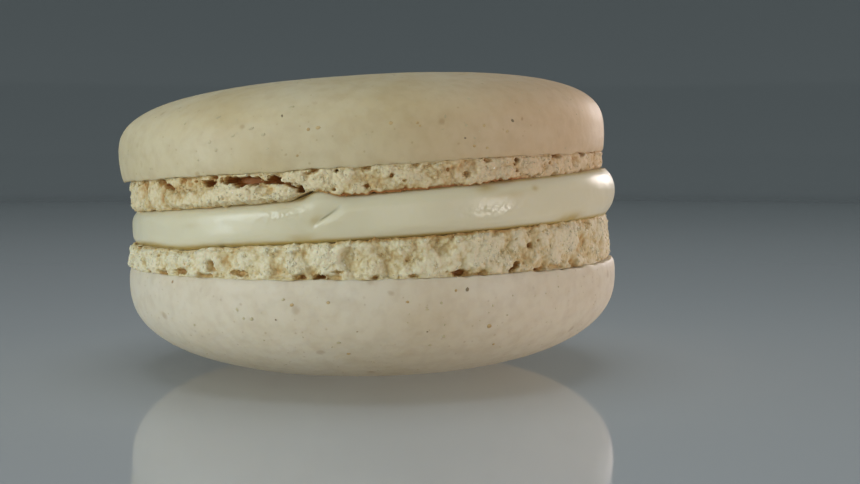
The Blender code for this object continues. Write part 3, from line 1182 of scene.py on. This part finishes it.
@dataclass(frozen=True)
class Filling:
    """The cream layer, bulging at its side, with its fold and the places that it flows into.

    Attributes:
        radius: Its radius where it bulges most.
        shift: How far its axis stands from the lower dome's, along X and Y.
        relief: Its fine relief.
        bottom_inset: How far it stands in on the lower foot.
        top_inset: How far it stands in under the upper foot.
        fold_top: Angle and share of the height where the fold starts.
        fold_foot: Angle and share where it ends.
        fold_bow: How far it bows to the right between them, in degrees.
        fold_step: How far the cream right of the fold stands over the cream left of it.
        crease: How deep the narrow crease between them is.
        wave: Width and depth of the slow unevenness of its side.
        ripple: The same for the quicker unevenness over it.
        wrinkle: How deep its fine wrinkles are.
        overlap: How far it reaches into both feet.
        rim_width: How wide its rims on the two seams are.
        steps: Points in each ring.
        rows: Rings from the lower seam to the upper one.
        front_share: How much closer together the points are at the front than on average.
        right_corner: Where its edges are rounder, in degrees, how wide that stretch is to each side, and how
            much the power of the rounding falls there.
        smudges: Where it is darkened, partly by painted shade under the upper foot, on the lower foot and
            beside the fold, partly by ochre smears: angle, share of the height, half widths of both, and
            strength.
        wrinkles: Where its skin is finely wrinkled: angle, share of the height, and half widths of both.
    """

    relief: Relief
    radius: float = 22.3 * MM
    shift: Pair = (0.05 * MM, 0.0)
    bottom_inset: float = 0.75 * MM
    top_inset: float = 0.85 * MM
    fold_top: Pair = (-6.1, 0.86)
    fold_foot: Pair = (-12.0, 0.34)
    fold_bow: float = 0.7
    fold_step: float = 0.30 * MM
    crease: float = 0.05 * MM
    wave: Pair = (9.0 * MM, 0.22 * MM)
    ripple: Pair = (2.6 * MM, 0.06 * MM)
    wrinkle: float = 0.060 * MM
    overlap: float = 0.03 * MM
    rim_width: float = 3.0 * MM
    steps: int = 1300
    rows: int = 68
    front_share: float = 0.5
    right_corner: Triple = (80.0, 26.0, 1.9)
    smudges: tuple[tuple[float, float, float, float, float], ...] = (
        (-11.9, 0.45, 1.2, 0.10, 0.42),
        (-15.0, 0.05, 3.0, 0.16, 0.60),
        (-14.6, 0.97, 1.2, 0.05, 0.90),
        (-7.6, 0.97, 2.2, 0.05, 0.95),
        (-41.0, 0.58, 2.2, 0.07, 0.20),
        (23.3, 0.90, 2.4, 0.10, 0.55),
        (29.0, 0.70, 5.0, 0.09, 0.26),
        (35.2, 0.79, 0.9, 0.06, 0.55),
        (47.4, 0.05, 4.4, 0.14, 0.85),
    )
    wrinkles: tuple[tuple[float, float, float, float], ...] = (
        (-18.0, 0.70, 4.6, 0.15),
        (24.0, 0.45, 7.0, 0.11),
    )

    def fold(self, angle: np.ndarray, share: np.ndarray) -> tuple[np.ndarray, np.ndarray]:
        """The fold: right of its slanting line the cream stands out, and left of it the cream lies back.

        Args:
            angle: The places round the axis, in degrees.
            share: Their shares of the layer's height.

        Returns:
            How far out the fold pushes each place, and how near each is to the bottom of its crease, where the
            colour is darkened as painted shade.
        """
        down = np.clip((self.fold_top[1] - share) / (self.fold_top[1] - self.fold_foot[1]), 0.0, 1.0)
        line = self.fold_top[0] + (self.fold_foot[0] - self.fold_top[0]) * down
        past = angle - line - 4.0 * self.fold_bow * down * (1.0 - down)
        proud = np.exp(-np.clip(past - 2.6, 0.0, None) / 3.4) * smoothstep(-0.5, 3.6, past)
        sunk = np.exp(np.clip(past + 0.6, None, 0.0) / 2.2) * (1.0 - smoothstep(-0.8, 1.2, past))
        step = self.fold_step * (0.6 * proud - 0.4 * sunk) - self.crease * hump(past, 0.0, 0.55)
        drawn = band(share, (0.40, 0.47), (0.50, 0.84)) * hump(past, 0.0, 0.30)
        return band(share, (0.20, 0.46), (0.62, 0.90)) * step, drawn

    def base(self) -> Mesh:
        """Builds the layer's closed mesh, with the attributes rough, soaked, creased and wrinkled.

        Returns:
            The mesh before its fine relief.
        """
        angle, outward = ring(self.steps, self.front_share)
        share = 0.5 - 0.5 * np.cos(np.linspace(0.0, math.pi, self.rows))[:, None]
        corner = 4.0 - self.right_corner[2] * hump(angle, self.right_corner[0], self.right_corner[1])
        low_half = np.clip(1.0 - 2.0 * share, 0.0, 1.0) ** corner
        high_half = np.clip(2.0 * share - 1.0, 0.0, 1.0) ** corner
        reach = self.radius - self.bottom_inset * low_half - self.top_inset * high_half
        points = np.array([*self.shift, 0.0]) + outward * reach[..., None]
        x = points[..., 0]
        low = LOWER_SEAM.level(x) + SAG.lift(angle) - self.overlap
        high = UPPER_SEAM.level(x) + NOTCH.lift(angle) + self.overlap
        points[..., 2] = low + (high - low) * share
        free = band(share, (0.0, 0.2), (0.85, 1.0))
        swell = self.wave[1] * noise_at(points, self.wave[0], (3.1, 0.4, 7.7))
        swell += self.ripple[1] * noise_at(points, self.ripple[0], (1.0, 9.0, 4.0))
        jagged = 0.5 * noise_at(points, 0.9 * MM, (2.0, 2.0, 8.0))
        pushed, crease_shade = self.fold(angle + jagged, share)
        wrinkled = sum(hump(angle, a, w) * hump(share, h, t) for a, h, w, t in self.wrinkles)
        folds = noise_at(points * np.array([0.9, 0.9, 1.2]), 0.62 * MM, (4.0, 1.0, 6.0))
        folds += 0.4 * noise_at(points, 0.26 * MM, (7.0, 3.0, 2.0))
        points += outward * (free * swell + pushed + self.wrinkle * wrinkled * folds)[..., None]
        # Painted shade along both seams: a band on the lower foot, widest at the sag, and a line under the
        # upper foot. The smudges add painted shade and ochre smears.
        edge = 0.06 + 0.09 * hump(angle, -58.0, 16.0) + 0.03 * hump(angle, -20.0, 18.0)
        shade_and_smears = 1.0 - smoothstep(0.3 * edge, 1.6 * edge, share)
        shade_and_smears = np.maximum(shade_and_smears, 0.8 * smoothstep(0.93, 0.99, share))
        # Painted shade in the crease, broken up along its length.
        crease_shade = crease_shade * (0.45 + 0.55 * smoothstep(-0.15, 0.10, jagged))
        for centre, height, half_width, half_height, strength in self.smudges:
            shade_and_stain = strength * hump(angle, centre, half_width) * hump(share, height, half_height)
            shade_and_smears = np.maximum(shade_and_smears, shade_and_stain * (1.0 + jagged))
        inner = points[[0, -1]] - outward * self.rim_width
        points = np.concatenate([inner[:1], points, inner[1:]])
        fields = {"rough": free, "shade_and_smears": shade_and_smears, "wrinkled": wrinkled, "crease_shade": crease_shade}
        return ringed_mesh("cream", points, fields)

    def build(self, cream: Material) -> Object:
        """Builds the layer with its fine relief, in the finish of the cream, and returns it."""
        return hand_over(self.relief.lay("cream", self.base(), cream), Slot.CREAM, "cream_filling")


def set_grains(tree: NodeTree, points: NodeSocket, rotation: Node, size: Node, material: Material) -> None:
    """Ends a tree with one dented little grain on each point.

    Args:
        tree: The tree to end.
        points: Where the grains lie.
        rotation: How each is turned.
        size: The radius of each along its three axes.
        material: Their finish.
    """
    grain = put(tree, "GeometryNodeMeshUVSphere", GRAIN)
    sizes = {"Points": points, "Instance": grain, "Rotation": rotation, "Scale": size}
    strewn = put(tree, "GeometryNodeInstanceOnPoints", sizes)
    real = put(tree, "GeometryNodeRealizeInstances", {"Geometry": strewn})
    place = put(tree, "GeometryNodeInputPosition")
    dents = put(tree, "ShaderNodeTexNoise", {"Vector": place, "Scale": 1.0 / DENTS[0]}).outputs["Color"]
    centred = put(tree, "ShaderNodeVectorMath", (dents, (0.5, 0.5, 0.5)), operation="SUBTRACT")
    push = put(tree, "ShaderNodeVectorMath", {0: centred, "Scale": DENTS[1]}, operation="SCALE")
    end_tree(tree, put(tree, "GeometryNodeSetPosition", {"Geometry": real, "Offset": push}), material)


@dataclass(frozen=True)
class Spot:
    """The place of one fleck or crystal that the photo shows.

    Attributes:
        angle: Where it is, in degrees round the axis.
        height: Its height above the table.
        half_length: Its reach to each side along the surface.
        half_width: Its reach up and down.
    """

    angle: float
    height: float
    half_length: float
    half_width: float

    @classmethod
    def rows(cls, *rows: tuple[float, ...]) -> "tuple[Spot, ...]":
        """Spots from rows of their fields, whose lengths are in millimetres."""
        return tuple(cls(angle, *(length * MM for length in lengths)) for angle, *lengths in rows)


@dataclass(frozen=True)
class Inlay:
    """Flecks or crystals at the places that the photo shows, half sunk in a surface.

    Attributes:
        name: The piece's name.
        spots: Their places.
        half_thick: Their reach in and out of the surface.
    """

    name: str
    spots: tuple[Spot, ...]
    half_thick: float = 0.045 * MM

    def base(self, ground: Object) -> Mesh:
        """Finds each spot on the ground's surface.

        Args:
            ground: The finished piece that they lie in.

        Returns:
            A mesh of loose points with the attributes facing and size.
        """
        faces = [face.vertices[:] for face in ground.data.polygons]
        lookup = BVHTree.FromPolygons([vertex.co for vertex in ground.data.vertices], faces)
        places, facings, sizes = [], [], []
        for spot in self.spots:
            turn = math.radians(spot.angle)
            outward = Vector((math.sin(turn), -math.cos(turn), 0.0))
            start = outward * 60.0 * MM + Vector((0.0, 0.0, spot.height))
            place, normal, _, _ = lookup.ray_cast(start, -outward)
            places.append(place)
            facings.extend(normal)
            sizes.extend((spot.half_length, spot.half_width, self.half_thick))
        mesh = bpy.data.meshes.new(self.name)
        mesh.from_pydata(places, [], [])
        for label, values in (("facing", facings), ("size", sizes)):
            mesh.attributes.new(label, "FLOAT_VECTOR", "POINT").data.foreach_set("vector", values)
        return mesh

    def build(self, ground: Object, material: Material) -> Object:
        """Sets the flecks or crystals into the ground.

        Args:
            ground: The finished piece that they lie in.
            material: Their finish.

        Returns:
            All of them as one piece.
        """
        tree, given = new_tree("set_flecks", {})
        facing, size = (
            put(tree, "GeometryNodeInputNamedAttribute", (label,), data_type="FLOAT_VECTOR")
            for label in ("facing", "size")
        )
        turned = put(tree, "FunctionNodeAlignRotationToVector", {"Vector": facing}, axis="Z")
        set_grains(tree, given["Geometry"], turned, size, material)
        return hand_over(grow(self.name, self.base(ground), tree, {}), Slot.SHELL)


@dataclass(frozen=True)
class Scatter:
    """Small grains that Geometry Nodes strew over a surface and half sink into it.

    Attributes:
        name: The piece's name.
        mask: The surface's attribute that says how many lie where.
        density: Grains on each square metre where the mask is 1.
        clump: The width of the clumps that they lie in.
        smallest: The least radius of a grain, along its three axes.
        largest: The greatest radius, along its three axes.
        seed: The draw's seed.
        clear_height: How far above the table the lowest grains lie.
        spin_seed: The seed of the draw that turns the grains.
        crowd: From and to which value of the noise a clump thickens.
    """

    name: str
    mask: str
    density: float
    clump: float
    smallest: Triple
    largest: Triple
    seed: int
    clear_height: float = 0.2 * MM
    spin_seed: int = 7
    crowd: Pair = (0.42, 0.62)

    def tree(self, inputs: Mapping[str, object], material: Material) -> NodeTree:
        """Builds the tree.

        Args:
            inputs: The tree's inputs by name.
            material: The grains' finish.

        Returns:
            The tree.
        """
        tree, given = new_tree("strewn_grains", inputs)
        mask = put(tree, "GeometryNodeInputNamedAttribute", (self.mask,), data_type="FLOAT")
        scale = put(tree, "ShaderNodeMath", (1.0, given["Clump"]), operation="DIVIDE")
        at = put(tree, "GeometryNodeInputPosition")
        clumps = put(tree, "ShaderNodeTexNoise", {"Vector": at, "Scale": scale, "Detail": 2.0})
        crowd = put(tree, "ShaderNodeMapRange", (clumps, *self.crowd))
        height = put(tree, "ShaderNodeSeparateXYZ", (at,)).outputs["Z"]
        clear = put(tree, "ShaderNodeMath", (height, self.clear_height), operation="GREATER_THAN")
        count = mask
        for factor in (crowd, clear, given["Density"]):
            count = put(tree, "ShaderNodeMath", (count, factor), operation="MULTIPLY")
        strewing = {"Mesh": given["Geometry"], "Density": count, "Seed": given["Seed"]}
        spots = put(tree, "GeometryNodeDistributePointsOnFaces", strewing, distribute_method="RANDOM").outputs
        sizes = {0: given["Smallest"], 1: given["Largest"], "Seed": given["Seed"]}
        spins = {0: (0.0, 0.0, 0.0), 1: (0.0, 0.0, 2.0 * math.pi), "Seed": self.spin_seed}
        size, spin = (
            put(tree, "FunctionNodeRandomValue", drawn, data_type="FLOAT_VECTOR") for drawn in (sizes, spins)
        )
        turning = {"Rotation": spots["Rotation"], "Rotate By": spin}
        turned = put(tree, "FunctionNodeRotateRotation", turning, rotation_space="LOCAL")
        set_grains(tree, spots["Points"], turned, size, material)
        return tree

    def build(self, ground: Object, material: Material) -> Object:
        """Strews the grains.

        Args:
            ground: The finished piece that they lie on.
            material: The grains' finish.

        Returns:
            All the grains as one piece.
        """
        labels = ("Density", "Clump", "Smallest", "Largest", "Seed")
        inputs = {label: getattr(self, label.lower()) for label in labels}
        made = grow(self.name, ground.data.copy(), self.tree(inputs, material), inputs)
        return hand_over(made, Slot.SHELL)


@dataclass(frozen=True)
class Lamp:
    """A soft studio lamp. Only what it lights stands in its way, unless it lights all.

    Attributes:
        name: The lamp's name.
        place: Where it hangs.
        size: The width of its soft face.
        watts: Its power.
        tint: Its colour.
        lights: What it lights. Only what lights the biscuit alone leaves a mirror image.
        glow: Whether it lights matt surfaces.
        shine: Whether it leaves highlights.
    """

    name: str
    place: Triple
    size: float
    watts: float
    tint: str
    lights: Lit = Lit.BISCUIT
    glow: bool = True
    shine: bool = True

    def hang(self, target: Vector) -> None:
        """Hangs the lamp and points it at the target."""
        light = bpy.data.lights.new(self.name, "AREA")
        light.shape = "DISK"
        light.size = self.size
        light.energy = self.watts
        light.color = linear(self.tint)[:3]
        made = bpy.data.objects.new(self.name, light)
        made.location = self.place
        made.rotation_euler = (target - Vector(self.place)).to_track_quat("-Z", "Y").to_euler()
        made.visible_camera = False
        made.visible_diffuse = self.glow
        made.visible_glossy = self.shine and self.lights is Lit.BISCUIT
        if self.lights is not Lit.ALL:
            made.light_linking.receiver_collection = lit_pieces(self.lights)
            made.light_linking.blocker_collection = lit_pieces(self.lights)
        bpy.context.scene.collection.objects.link(made)


@dataclass(frozen=True)
class Studio:
    """The pale floor, the soft light and the camera at the photo's viewing angle.

    Attributes:
        distance: From the camera to the biscuit's axis, along Y.
        eye: The camera's height above the floor.
        focal_px: The focal length in pixels of the photo.
        frame_px: The photo's width and height.
        axis_px: The column of the photo in which the biscuit's axis stands.
        horizon_px: The row of the photo at the camera's height.
        flat_radius: How far the floor is level before it curves up.
        wall_height: How high it curves up.
        floor_steps: Faces round the floor.
        floor_rings: Rings of points in its curve.
        sensor_mm: The width of the camera's sensor.
        aim_height: The height on the biscuit's axis that the lamps point at.
        room: Colour and strength of the dim light of the room.
        lamps: The lamps.
    """

    distance: float = 115.0 * MM
    eye: float = 18.5 * MM
    focal_px: float = 1220.0
    frame_px: Pair = (860.0, 484.0)
    axis_px: float = 374.0
    horizon_px: float = 166.0
    flat_radius: float = 0.55
    wall_height: float = 0.5
    floor_steps: int = 96
    floor_rings: int = 24
    sensor_mm: float = 36.0
    aim_height: float = 14.0 * MM
    room: tuple[str, float] = ("#c3d0d4", 0.22)
    lamps: tuple[Lamp, ...] = (
        Lamp("softbox_over", (0.0, 0.0, 0.36), 0.30, 0.39, "#f4f8ff", Lit.ALL),
        Lamp("floor_wash", (0.0, 0.0, 0.40), 0.30, 0.30, "#fffcf8", Lit.FLOOR),
        Lamp("window_left", (-0.37, -0.20, 0.085), 0.24, 1.16, "#ecf8ff"),
        Lamp("front_fill", (0.05, -0.48, 0.06), 0.24, 0.36, "#fffaf4"),
        Lamp("table_front", (0.08, -0.28, -0.06), 0.10, 0.075, "#fff6dc"),
        Lamp("table_right", (0.24, -0.08, -0.14), 0.16, 0.040, "#fff2f6"),
        Lamp("side_right", (0.35, -0.02, 0.02), 0.16, 0.48, "#ffeef2", shine=False),
        Lamp("back_right", (0.197, 0.223, 0.085), 0.10, 0.22, "#fff4f2"),
        Lamp("sheen_left", (-0.25, -0.30, 0.12), 0.07, 0.16, "#f4fbff", glow=False),
        Lamp("sheen_right", (0.29, -0.22, 0.025), 0.12, 0.32, "#fff8f4", glow=False),
    )

    def set_camera(self) -> None:
        """Places the camera where the photo was taken from."""
        data = bpy.data.cameras.new("camera")
        data.sensor_width = self.sensor_mm
        data.lens = self.focal_px / self.frame_px[0] * self.sensor_mm
        data.clip_start = 1.0 * MM
        camera = bpy.data.objects.new("camera", data)
        camera.location = (0.0, -self.distance, self.eye)
        down = math.atan((self.frame_px[1] / 2.0 - self.horizon_px) / self.focal_px)
        right = math.atan((self.frame_px[0] / 2.0 - self.axis_px) / self.focal_px)
        camera.rotation_euler = (math.pi / 2.0 - down, 0.0, -right)
        bpy.context.scene.collection.objects.link(camera)
        bpy.context.scene.camera = camera

    def lay_floor(self) -> None:
        """Lays the pale floor, which curves up all round to a plain backdrop."""
        curve = np.linspace(0.0, math.pi / 2.0, self.floor_rings)
        reach = np.concatenate([[0.0], self.flat_radius + self.wall_height * np.sin(curve)])
        rise = np.concatenate([[0.0], self.wall_height * (1.0 - np.cos(curve))])
        mesh = bmesh.new()
        line = [mesh.verts.new((float(a), 0.0, float(b))) for a, b in zip(reach, rise)]
        edges = [mesh.edges.new(pair) for pair in zip(line, line[1:])]
        bmesh.ops.spin(
            mesh, geom=line + edges, axis=(0.0, 0.0, 1.0), cent=(0.0, 0.0, 0.0), steps=self.floor_steps,
            angle=2.0 * math.pi, use_merge=True,
        )
        bmesh.ops.remove_doubles(mesh, verts=mesh.verts, dist=10.0 * DOUBLES)
        data = bpy.data.meshes.new("floor")
        mesh.to_mesh(data)
        mesh.free()
        data.shade_smooth()
        data.materials.append(SatinAcrylic().make())
        floor = bpy.data.objects.new("floor", data)
        bpy.context.scene.collection.objects.link(floor)
        lit_pieces(Lit.FLOOR).objects.link(floor)

    def light(self) -> None:
        """Hangs the lamps and sets the dim light of the room."""
        for lamp in self.lamps:
            lamp.hang(Vector((0.0, 0.0, self.aim_height)))
        world = bpy.data.worlds.new("room")
        world.use_nodes = True
        feed(world.node_tree.nodes["Background"], (linear(self.room[0]), self.room[1]))
        bpy.context.scene.world = world
        bpy.context.scene.view_settings.view_transform = "Standard"


# How much of a slit's reach is as deep as its middle, so that its walls are steep
SLIT = 0.70

# The pits and slits in the upper foot, from left to right: first the tear, then the small pits
UPPER_HOLLOWS = Hollow.rows(
    (-48.2, 16.81, 0.99, 0.27, 0.75, 0.15, SLIT),
    (-35.4, 17.14, 0.75, 0.24, 1.2, 0.0, SLIT),
    (-26.3, 17.36, 1.85, 0.36, 1.6, 0.0, SLIT),
    (-26.4, 17.00, 0.36, 0.22, 1.3, 0.0, SLIT),
    (-19.0, 17.45, 0.50, 0.36, 1.6, 0.0, SLIT),
    (-19.5, 17.24, 1.90, 0.10, 1.2, 0.04, SLIT),
    (-15.0, 16.98, 0.60, 0.10, 1.0, 0.45, SLIT),
    (-13.3, 16.71, 0.30, 0.31, 1.5, 0.0, SLIT),
    (-19.8, 16.45, 0.36, 0.46, 0.14),
    (-11.4, 17.96, 0.40, 0.12, 0.40),
    (-5.9, 18.12, 0.17, 0.15, 0.80),
    (0.0, 16.97, 0.34, 0.22, 0.50),
    (5.2, 17.81, 0.25, 0.18, 0.40),
    (7.8, 17.43, 0.22, 0.16, 0.35),
    (21.2, 17.96, 0.30, 0.18, 0.35),
    (25.6, 18.97, 0.34, 0.14, 0.45),
    (33.2, 18.98, 0.26, 0.18, 0.90),
)

# The pits in the lower foot, from left to right
LOWER_HOLLOWS = Hollow.rows(
    (-44.1, 9.96, 1.0, 0.28, 0.55),
    (-34.9, 10.60, 0.42, 0.64, 0.62),
    (-27.6, 10.12, 0.85, 0.20, 0.45),
    (-10.0, 10.01, 0.48, 0.24, 1.0),
    (-6.6, 10.41, 0.60, 0.13, 0.60),
    (1.0, 9.96, 0.45, 0.18, 0.55),
    (8.6, 10.09, 0.48, 0.18, 0.55),
    (18.4, 10.25, 0.75, 0.30, 1.0),
    (31.3, 10.46, 0.60, 0.26, 1.0, -0.6),
    (38.2, 10.17, 0.62, 0.18, 0.65),
    (35.6, 12.13, 0.36, 0.24, 0.65),
)

# The flecks of almond skin that the photo shows in the upper dome, from left to right
UPPER_FLECKS = {
    "dark": Spot.rows(
        (18.6, 20.65, 0.10, 0.08), (30.0, 22.07, 0.17, 0.12), (-18.3, 22.31, 0.09, 0.14),
    ),
    "ochre": Spot.rows(
        (-14.9, 19.28, 0.12, 0.10), (-12.7, 21.27, 0.14, 0.14), (-10.8, 21.39, 0.22, 0.14),
        (3.3, 21.75, 0.18, 0.15), (8.6, 21.77, 0.12, 0.12), (9.1, 21.54, 0.10, 0.10),
        (20.7, 20.05, 0.14, 0.12), (22.9, 21.64, 0.14, 0.14), (23.7, 19.90, 0.14, 0.10),
        (28.5, 21.22, 0.13, 0.13),
    ),
    "olive": Spot.rows(
        (-41.5, 21.85, 0.14, 0.10), (-37.2, 18.96, 0.12, 0.10), (-34.0, 20.37, 0.16, 0.14),
        (-32.9, 22.29, 0.26, 0.12), (-32.5, 19.74, 0.16, 0.14), (-28.4, 20.83, 0.22, 0.09),
        (-24.4, 21.36, 0.26, 0.10), (-21.8, 20.89, 0.20, 0.12), (-16.8, 23.01, 0.24, 0.12),
        (14.4, 22.30, 0.10, 0.16), (18.9, 21.62, 0.10, 0.12), (20.7, 20.66, 0.10, 0.10),
        (20.5, 23.71, 0.16, 0.12),
    ),
}

# The flecks in the lower dome, from left to right
LOWER_FLECKS = {
    "dark": Spot.rows(
        (-20.0, 6.64, 0.08, 0.08), (10.8, 5.71, 0.08, 0.07), (18.7, 8.97, 0.14, 0.18),
    ),
    "ochre": Spot.rows(
        (-16.4, 7.85, 0.18, 0.13), (-9.0, 8.09, 0.16, 0.12), (-5.7, 3.86, 0.18, 0.15),
        (6.5, 8.13, 0.15, 0.10), (16.3, 8.92, 0.12, 0.12), (24.3, 5.95, 0.23, 0.20),
        (27.4, 4.26, 0.14, 0.12),
    ),
    "olive": Spot.rows(
        (-41.4, 5.69, 0.16, 0.12), (-28.6, 7.30, 0.14, 0.18), (-27.3, 6.61, 0.16, 0.12),
        (-25.4, 6.61, 0.20, 0.15), (-18.2, 8.26, 0.16, 0.12), (-7.4, 4.87, 0.18, 0.14),
        (10.4, 7.51, 0.16, 0.08), (11.9, 4.54, 0.16, 0.12), (13.3, 8.00, 0.14, 0.12),
        (14.5, 5.25, 0.17, 0.15),
    ),
}

# The sugar crystals that glint in the two feet
LOWER_CRYSTALS = Spot.rows(
    (-5.8, 10.96, 0.11, 0.08), (23.6, 11.33, 0.08, 0.08), (29.2, 11.00, 0.09, 0.09),
    (-21.5, 11.60, 0.07, 0.07), (12.5, 10.70, 0.07, 0.06),
)
UPPER_CRYSTALS = Spot.rows(
    (25.4, 18.34, 0.09, 0.11), (-28.5, 16.45, 0.07, 0.06),
)

FOOT_RELIEF = Relief(
    wave=(1.3 * MM, 0.14 * MM),
    crumb=(0.80 * MM, 0.20 * MM),
    bead=(0.34 * MM, 0.12 * MM),
    pore=(0.62 * MM, 0.28 * MM),
    pore_share=0.26,
    grain=(0.20 * MM, 0.10 * MM),
    shade_and_stain=1300.0,
)
SKIN_RELIEF = Relief(
    wave=(7.0 * MM, 0.16 * MM),
    pore=(1.7 * MM, 0.035 * MM),
    pore_share=0.12,
    grain=(1.1 * MM, 0.02 * MM),
)
CREAM_RELIEF = Relief(
    wave=(2.4 * MM, 0.06 * MM),
    grain=(0.5 * MM, 0.02 * MM),
)


def main() -> None:
    """Builds the studio and every piece of the biscuit, in order."""
    logging.basicConfig(level=logging.INFO, format="%(name)s: %(message)s")
    studio = Studio()
    studio.set_camera()
    studio.lay_floor()
    studio.light()
    lower_skin = BakedSkin().make()
    upper_skin = BakedSkin(
        "toasted_meringue_skin", pale="#cfc29f", toasted="#beaa7d", tan_share=(0.40, -2.0, 17.0)
    ).make()
    lower_crumb = CragCrumb().make()
    # The deeper stops are partly painted shade in the crumb's hollows and the tear.
    warm = ((0.02, "#dacba4"), (0.20, "#c9b280"), (0.40, "#b28a4e"), (0.62, "#9a642d"), (1.00, "#a86c30"))
    upper_crumb = CragCrumb("toasted_meringue_crumb", stops=warm, tan_share=(0.34, 0.0, 14.0)).make()
    lower_dome = Dome(
        "lower_dome", "lower_shell", Side.DOWN, LOWER_RIM, radius=22.45 * MM, shift=(0.0, 0.0),
        relief=SKIN_RELIEF, height=9.95 * MM, power=2.5, lip_height=1.2 * MM,
    ).build(lower_skin)
    lower_foot = Foot(
        "lower_foot", "lower_shell", Side.DOWN, LOWER_RIM, radius=22.15 * MM,
        shift=(-0.30 * MM, -0.10 * MM), relief=FOOT_RELIEF, seam=LOWER_SEAM, dip=SAG, seed=11.3,
        hollows=LOWER_HOLLOWS,
    ).build(lower_crumb)
    Filling(CREAM_RELIEF).build(ButterCream().make())
    upper_foot = Foot(
        "upper_foot", "upper_shell", Side.UP, UPPER_RIM, radius=21.85 * MM,
        shift=(-0.60 * MM, -0.30 * MM), relief=replace(FOOT_RELIEF, pore_share=0.36, shade_and_stain=1450.0),
        seam=UPPER_SEAM, dip=NOTCH, seed=4.7, hollows=UPPER_HOLLOWS, side_inset=0.3 * MM,
        flap=(-51.0, -14.0, 0.25 * MM), seam_shadow=(-8.0, 36.0, 0.5),
    ).build(upper_crumb)
    upper_dome = Dome(
        "upper_dome", "upper_shell", Side.UP, UPPER_RIM, radius=22.3 * MM, shift=(-0.82 * MM, -0.10 * MM),
        relief=SKIN_RELIEF, height=8.0 * MM, power=2.85, lip_height=2.0 * MM,
    ).build(upper_skin)
    crumb_sizes = ((0.05 * MM, 0.05 * MM, 0.03 * MM), (0.15 * MM, 0.15 * MM, 0.09 * MM))
    for ground, finish, seed in ((lower_foot, lower_crumb, 3), (upper_foot, upper_crumb, 8)):
        Scatter(ground.name + "_crumbs", "crumbs", 9.0e6, 1.1 * MM, *crumb_sizes, seed).build(ground, finish)
    flecks = {
        "dark": Speck("almond_skin_dark", "#7d6e50", "#8d7a58").make(),
        "ochre": Speck("almond_skin_ochre", "#c4aa78", "#b4955f").make(),
        "olive": Speck("almond_skin_olive", "#c6b993", "#b5a681").make(),
    }
    sugar = Speck("sugar_crystal", "#f6f1e4", "#e6dcc4", roughness=0.12).make()
    meal_sizes = ((0.03 * MM, 0.03 * MM, 0.012 * MM), (0.12 * MM, 0.09 * MM, 0.02 * MM))
    for ground, spots, seed in ((upper_dome, UPPER_FLECKS, 21), (lower_dome, LOWER_FLECKS, 34)):
        for shade, finish in flecks.items():
            Inlay(f"{ground.name}_{shade}_flecks", spots[shade], 0.03 * MM).build(ground, finish)
        meal = Scatter(ground.name + "_almond_meal", "rough", 0.30e6, 4.0 * MM, *meal_sizes, seed)
        meal.build(ground, flecks["olive"])
    for ground, spots in ((lower_foot, LOWER_CRYSTALS), (upper_foot, UPPER_CRYSTALS)):
        Inlay(ground.name + "_sugar", spots).build(ground, sugar)
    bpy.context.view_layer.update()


if __name__ == "__main__":
    main()
